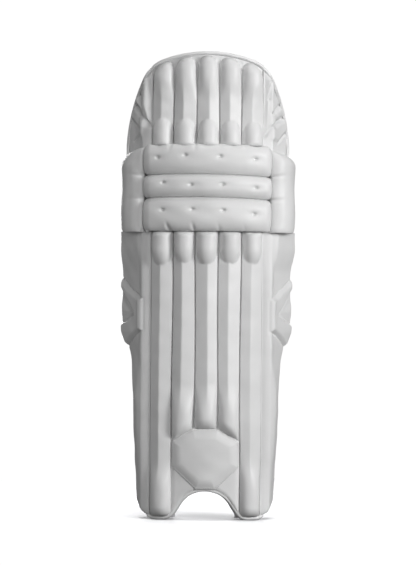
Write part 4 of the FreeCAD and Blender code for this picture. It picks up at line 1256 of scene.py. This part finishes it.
def stage():
    bpy.ops.mesh.primitive_uv_sphere_add(segments=48, ring_count=24, radius=STAGE_RADIUS)
    sky = bpy.context.object
    sky.name = "backdrop"
    white = bpy.data.materials.new("backdrop_white")
    white.use_nodes = True
    tree = white.node_tree
    tree.nodes.clear()
    glow = node(tree, "ShaderNodeEmission", Strength=BACKDROP_GLOW)
    out = tree.nodes.new("ShaderNodeOutputMaterial")
    tree.links.new(glow.outputs[0], out.inputs["Surface"])
    sky.data.materials.append(white)
    hide_from_bounce(sky)
    bpy.ops.mesh.primitive_circle_add(vertices=64, radius=STAGE_RADIUS * 0.98, fill_type="NGON")
    floor = bpy.context.object
    floor.name = "floor"
    pale, tree, shader = new_material("floor_pale", (0.66, 0.66, 0.67), 0.9)
    shader.inputs["Specular IOR Level"].default_value = 0.0
    place = object_space(tree)
    speckle = noise(tree, place, 60.0, 2.0)
    bump(tree, shader, speckle, 0.05, 0.001)
    reach = node(tree, "ShaderNodeVectorMath", [("Vector", place)])
    reach.operation = "LENGTH"
    fade = node(tree, "ShaderNodeMapRange", [("Value", reach.outputs["Value"])])
    fade.interpolation_type = "SMOOTHSTEP"
    fade.inputs["From Min"].default_value = FLOOR_LIT
    fade.inputs["From Max"].default_value = FLOOR_WHITE
    glow = node(tree, "ShaderNodeEmission", Strength=BACKDROP_GLOW)
    both = tree.nodes.new("ShaderNodeMixShader")
    tree.links.new(fade.outputs["Result"], both.inputs[0])
    tree.links.new(shader.outputs[0], both.inputs[1])
    tree.links.new(glow.outputs[0], both.inputs[2])
    tree.links.new(both.outputs[0], tree.nodes["Material Output"].inputs["Surface"])
    floor.data.materials.append(pale)
    hide_from_bounce(floor)
    return floor


def light(name, place, target, size, power, receivers=None):
    data = bpy.data.lights.new(name, "AREA")
    data.shape, data.size, data.energy = "DISK", size, power
    lamp = bpy.data.objects.new(name, data)
    bpy.context.scene.collection.objects.link(lamp)
    lamp.location = place
    lamp.rotation_euler = (Vector(target) - Vector(place)).to_track_quat("-Z", "Y").to_euler()
    if receivers is not None:
        group = bpy.data.collections.new(name + "_receivers")
        for piece in receivers:
            group.objects.link(piece)
        lamp.light_linking.receiver_collection = group


floor = stage()
PAD_MIDDLE = (0, -0.02, 0.36)
light("key_right", (1.9, -1.5, 0.9), PAD_MIDDLE, 0.9, 38)
light("front_fill", (0.5, -3.2, 1.2), PAD_MIDDLE, 1.6, 30)
light("rim_left", (-1.8, 0.2, 0.8), PAD_MIDDLE, 0.8, 3.5)
light("top", (0.1, -0.4, 2.4), PAD_MIDDLE, 1.0, 8)
light("back_soft", (-0.2, 2.8, 1.0), PAD_MIDDLE, 2.0, 62)
light("floor_wash", (0, 0, 3.2), (0, 0, 0), 3.0, 150, receivers=[floor])

world = bpy.data.worlds.new("studio")
bpy.context.scene.world = world
world.use_nodes = True
world.node_tree.nodes["Background"].inputs["Color"].default_value = (0.94, 0.94, 0.94, 1)
world.node_tree.nodes["Background"].inputs["Strength"].default_value = 0.12
bpy.context.scene.view_settings.view_transform = "Standard"

CAMERA_DISTANCE = 4.0
CAMERA_ROLL = -0.5
CAMERA_HEIGHT = 0.3605
PHOTO_HEIGHT = 0.8565
camera_data = bpy.data.cameras.new("camera")
camera_data.sensor_fit = "VERTICAL"
camera_data.sensor_height = 36.0
camera_data.lens = 36.0 * CAMERA_DISTANCE / PHOTO_HEIGHT
camera = bpy.data.objects.new("camera", camera_data)
bpy.context.scene.collection.objects.link(camera)
camera.location = (0.002, FACE_Y * MM - CAMERA_DISTANCE, CAMERA_HEIGHT)
camera.rotation_euler = (math.radians(90), math.radians(CAMERA_ROLL), 0)
bpy.context.scene.camera = camera
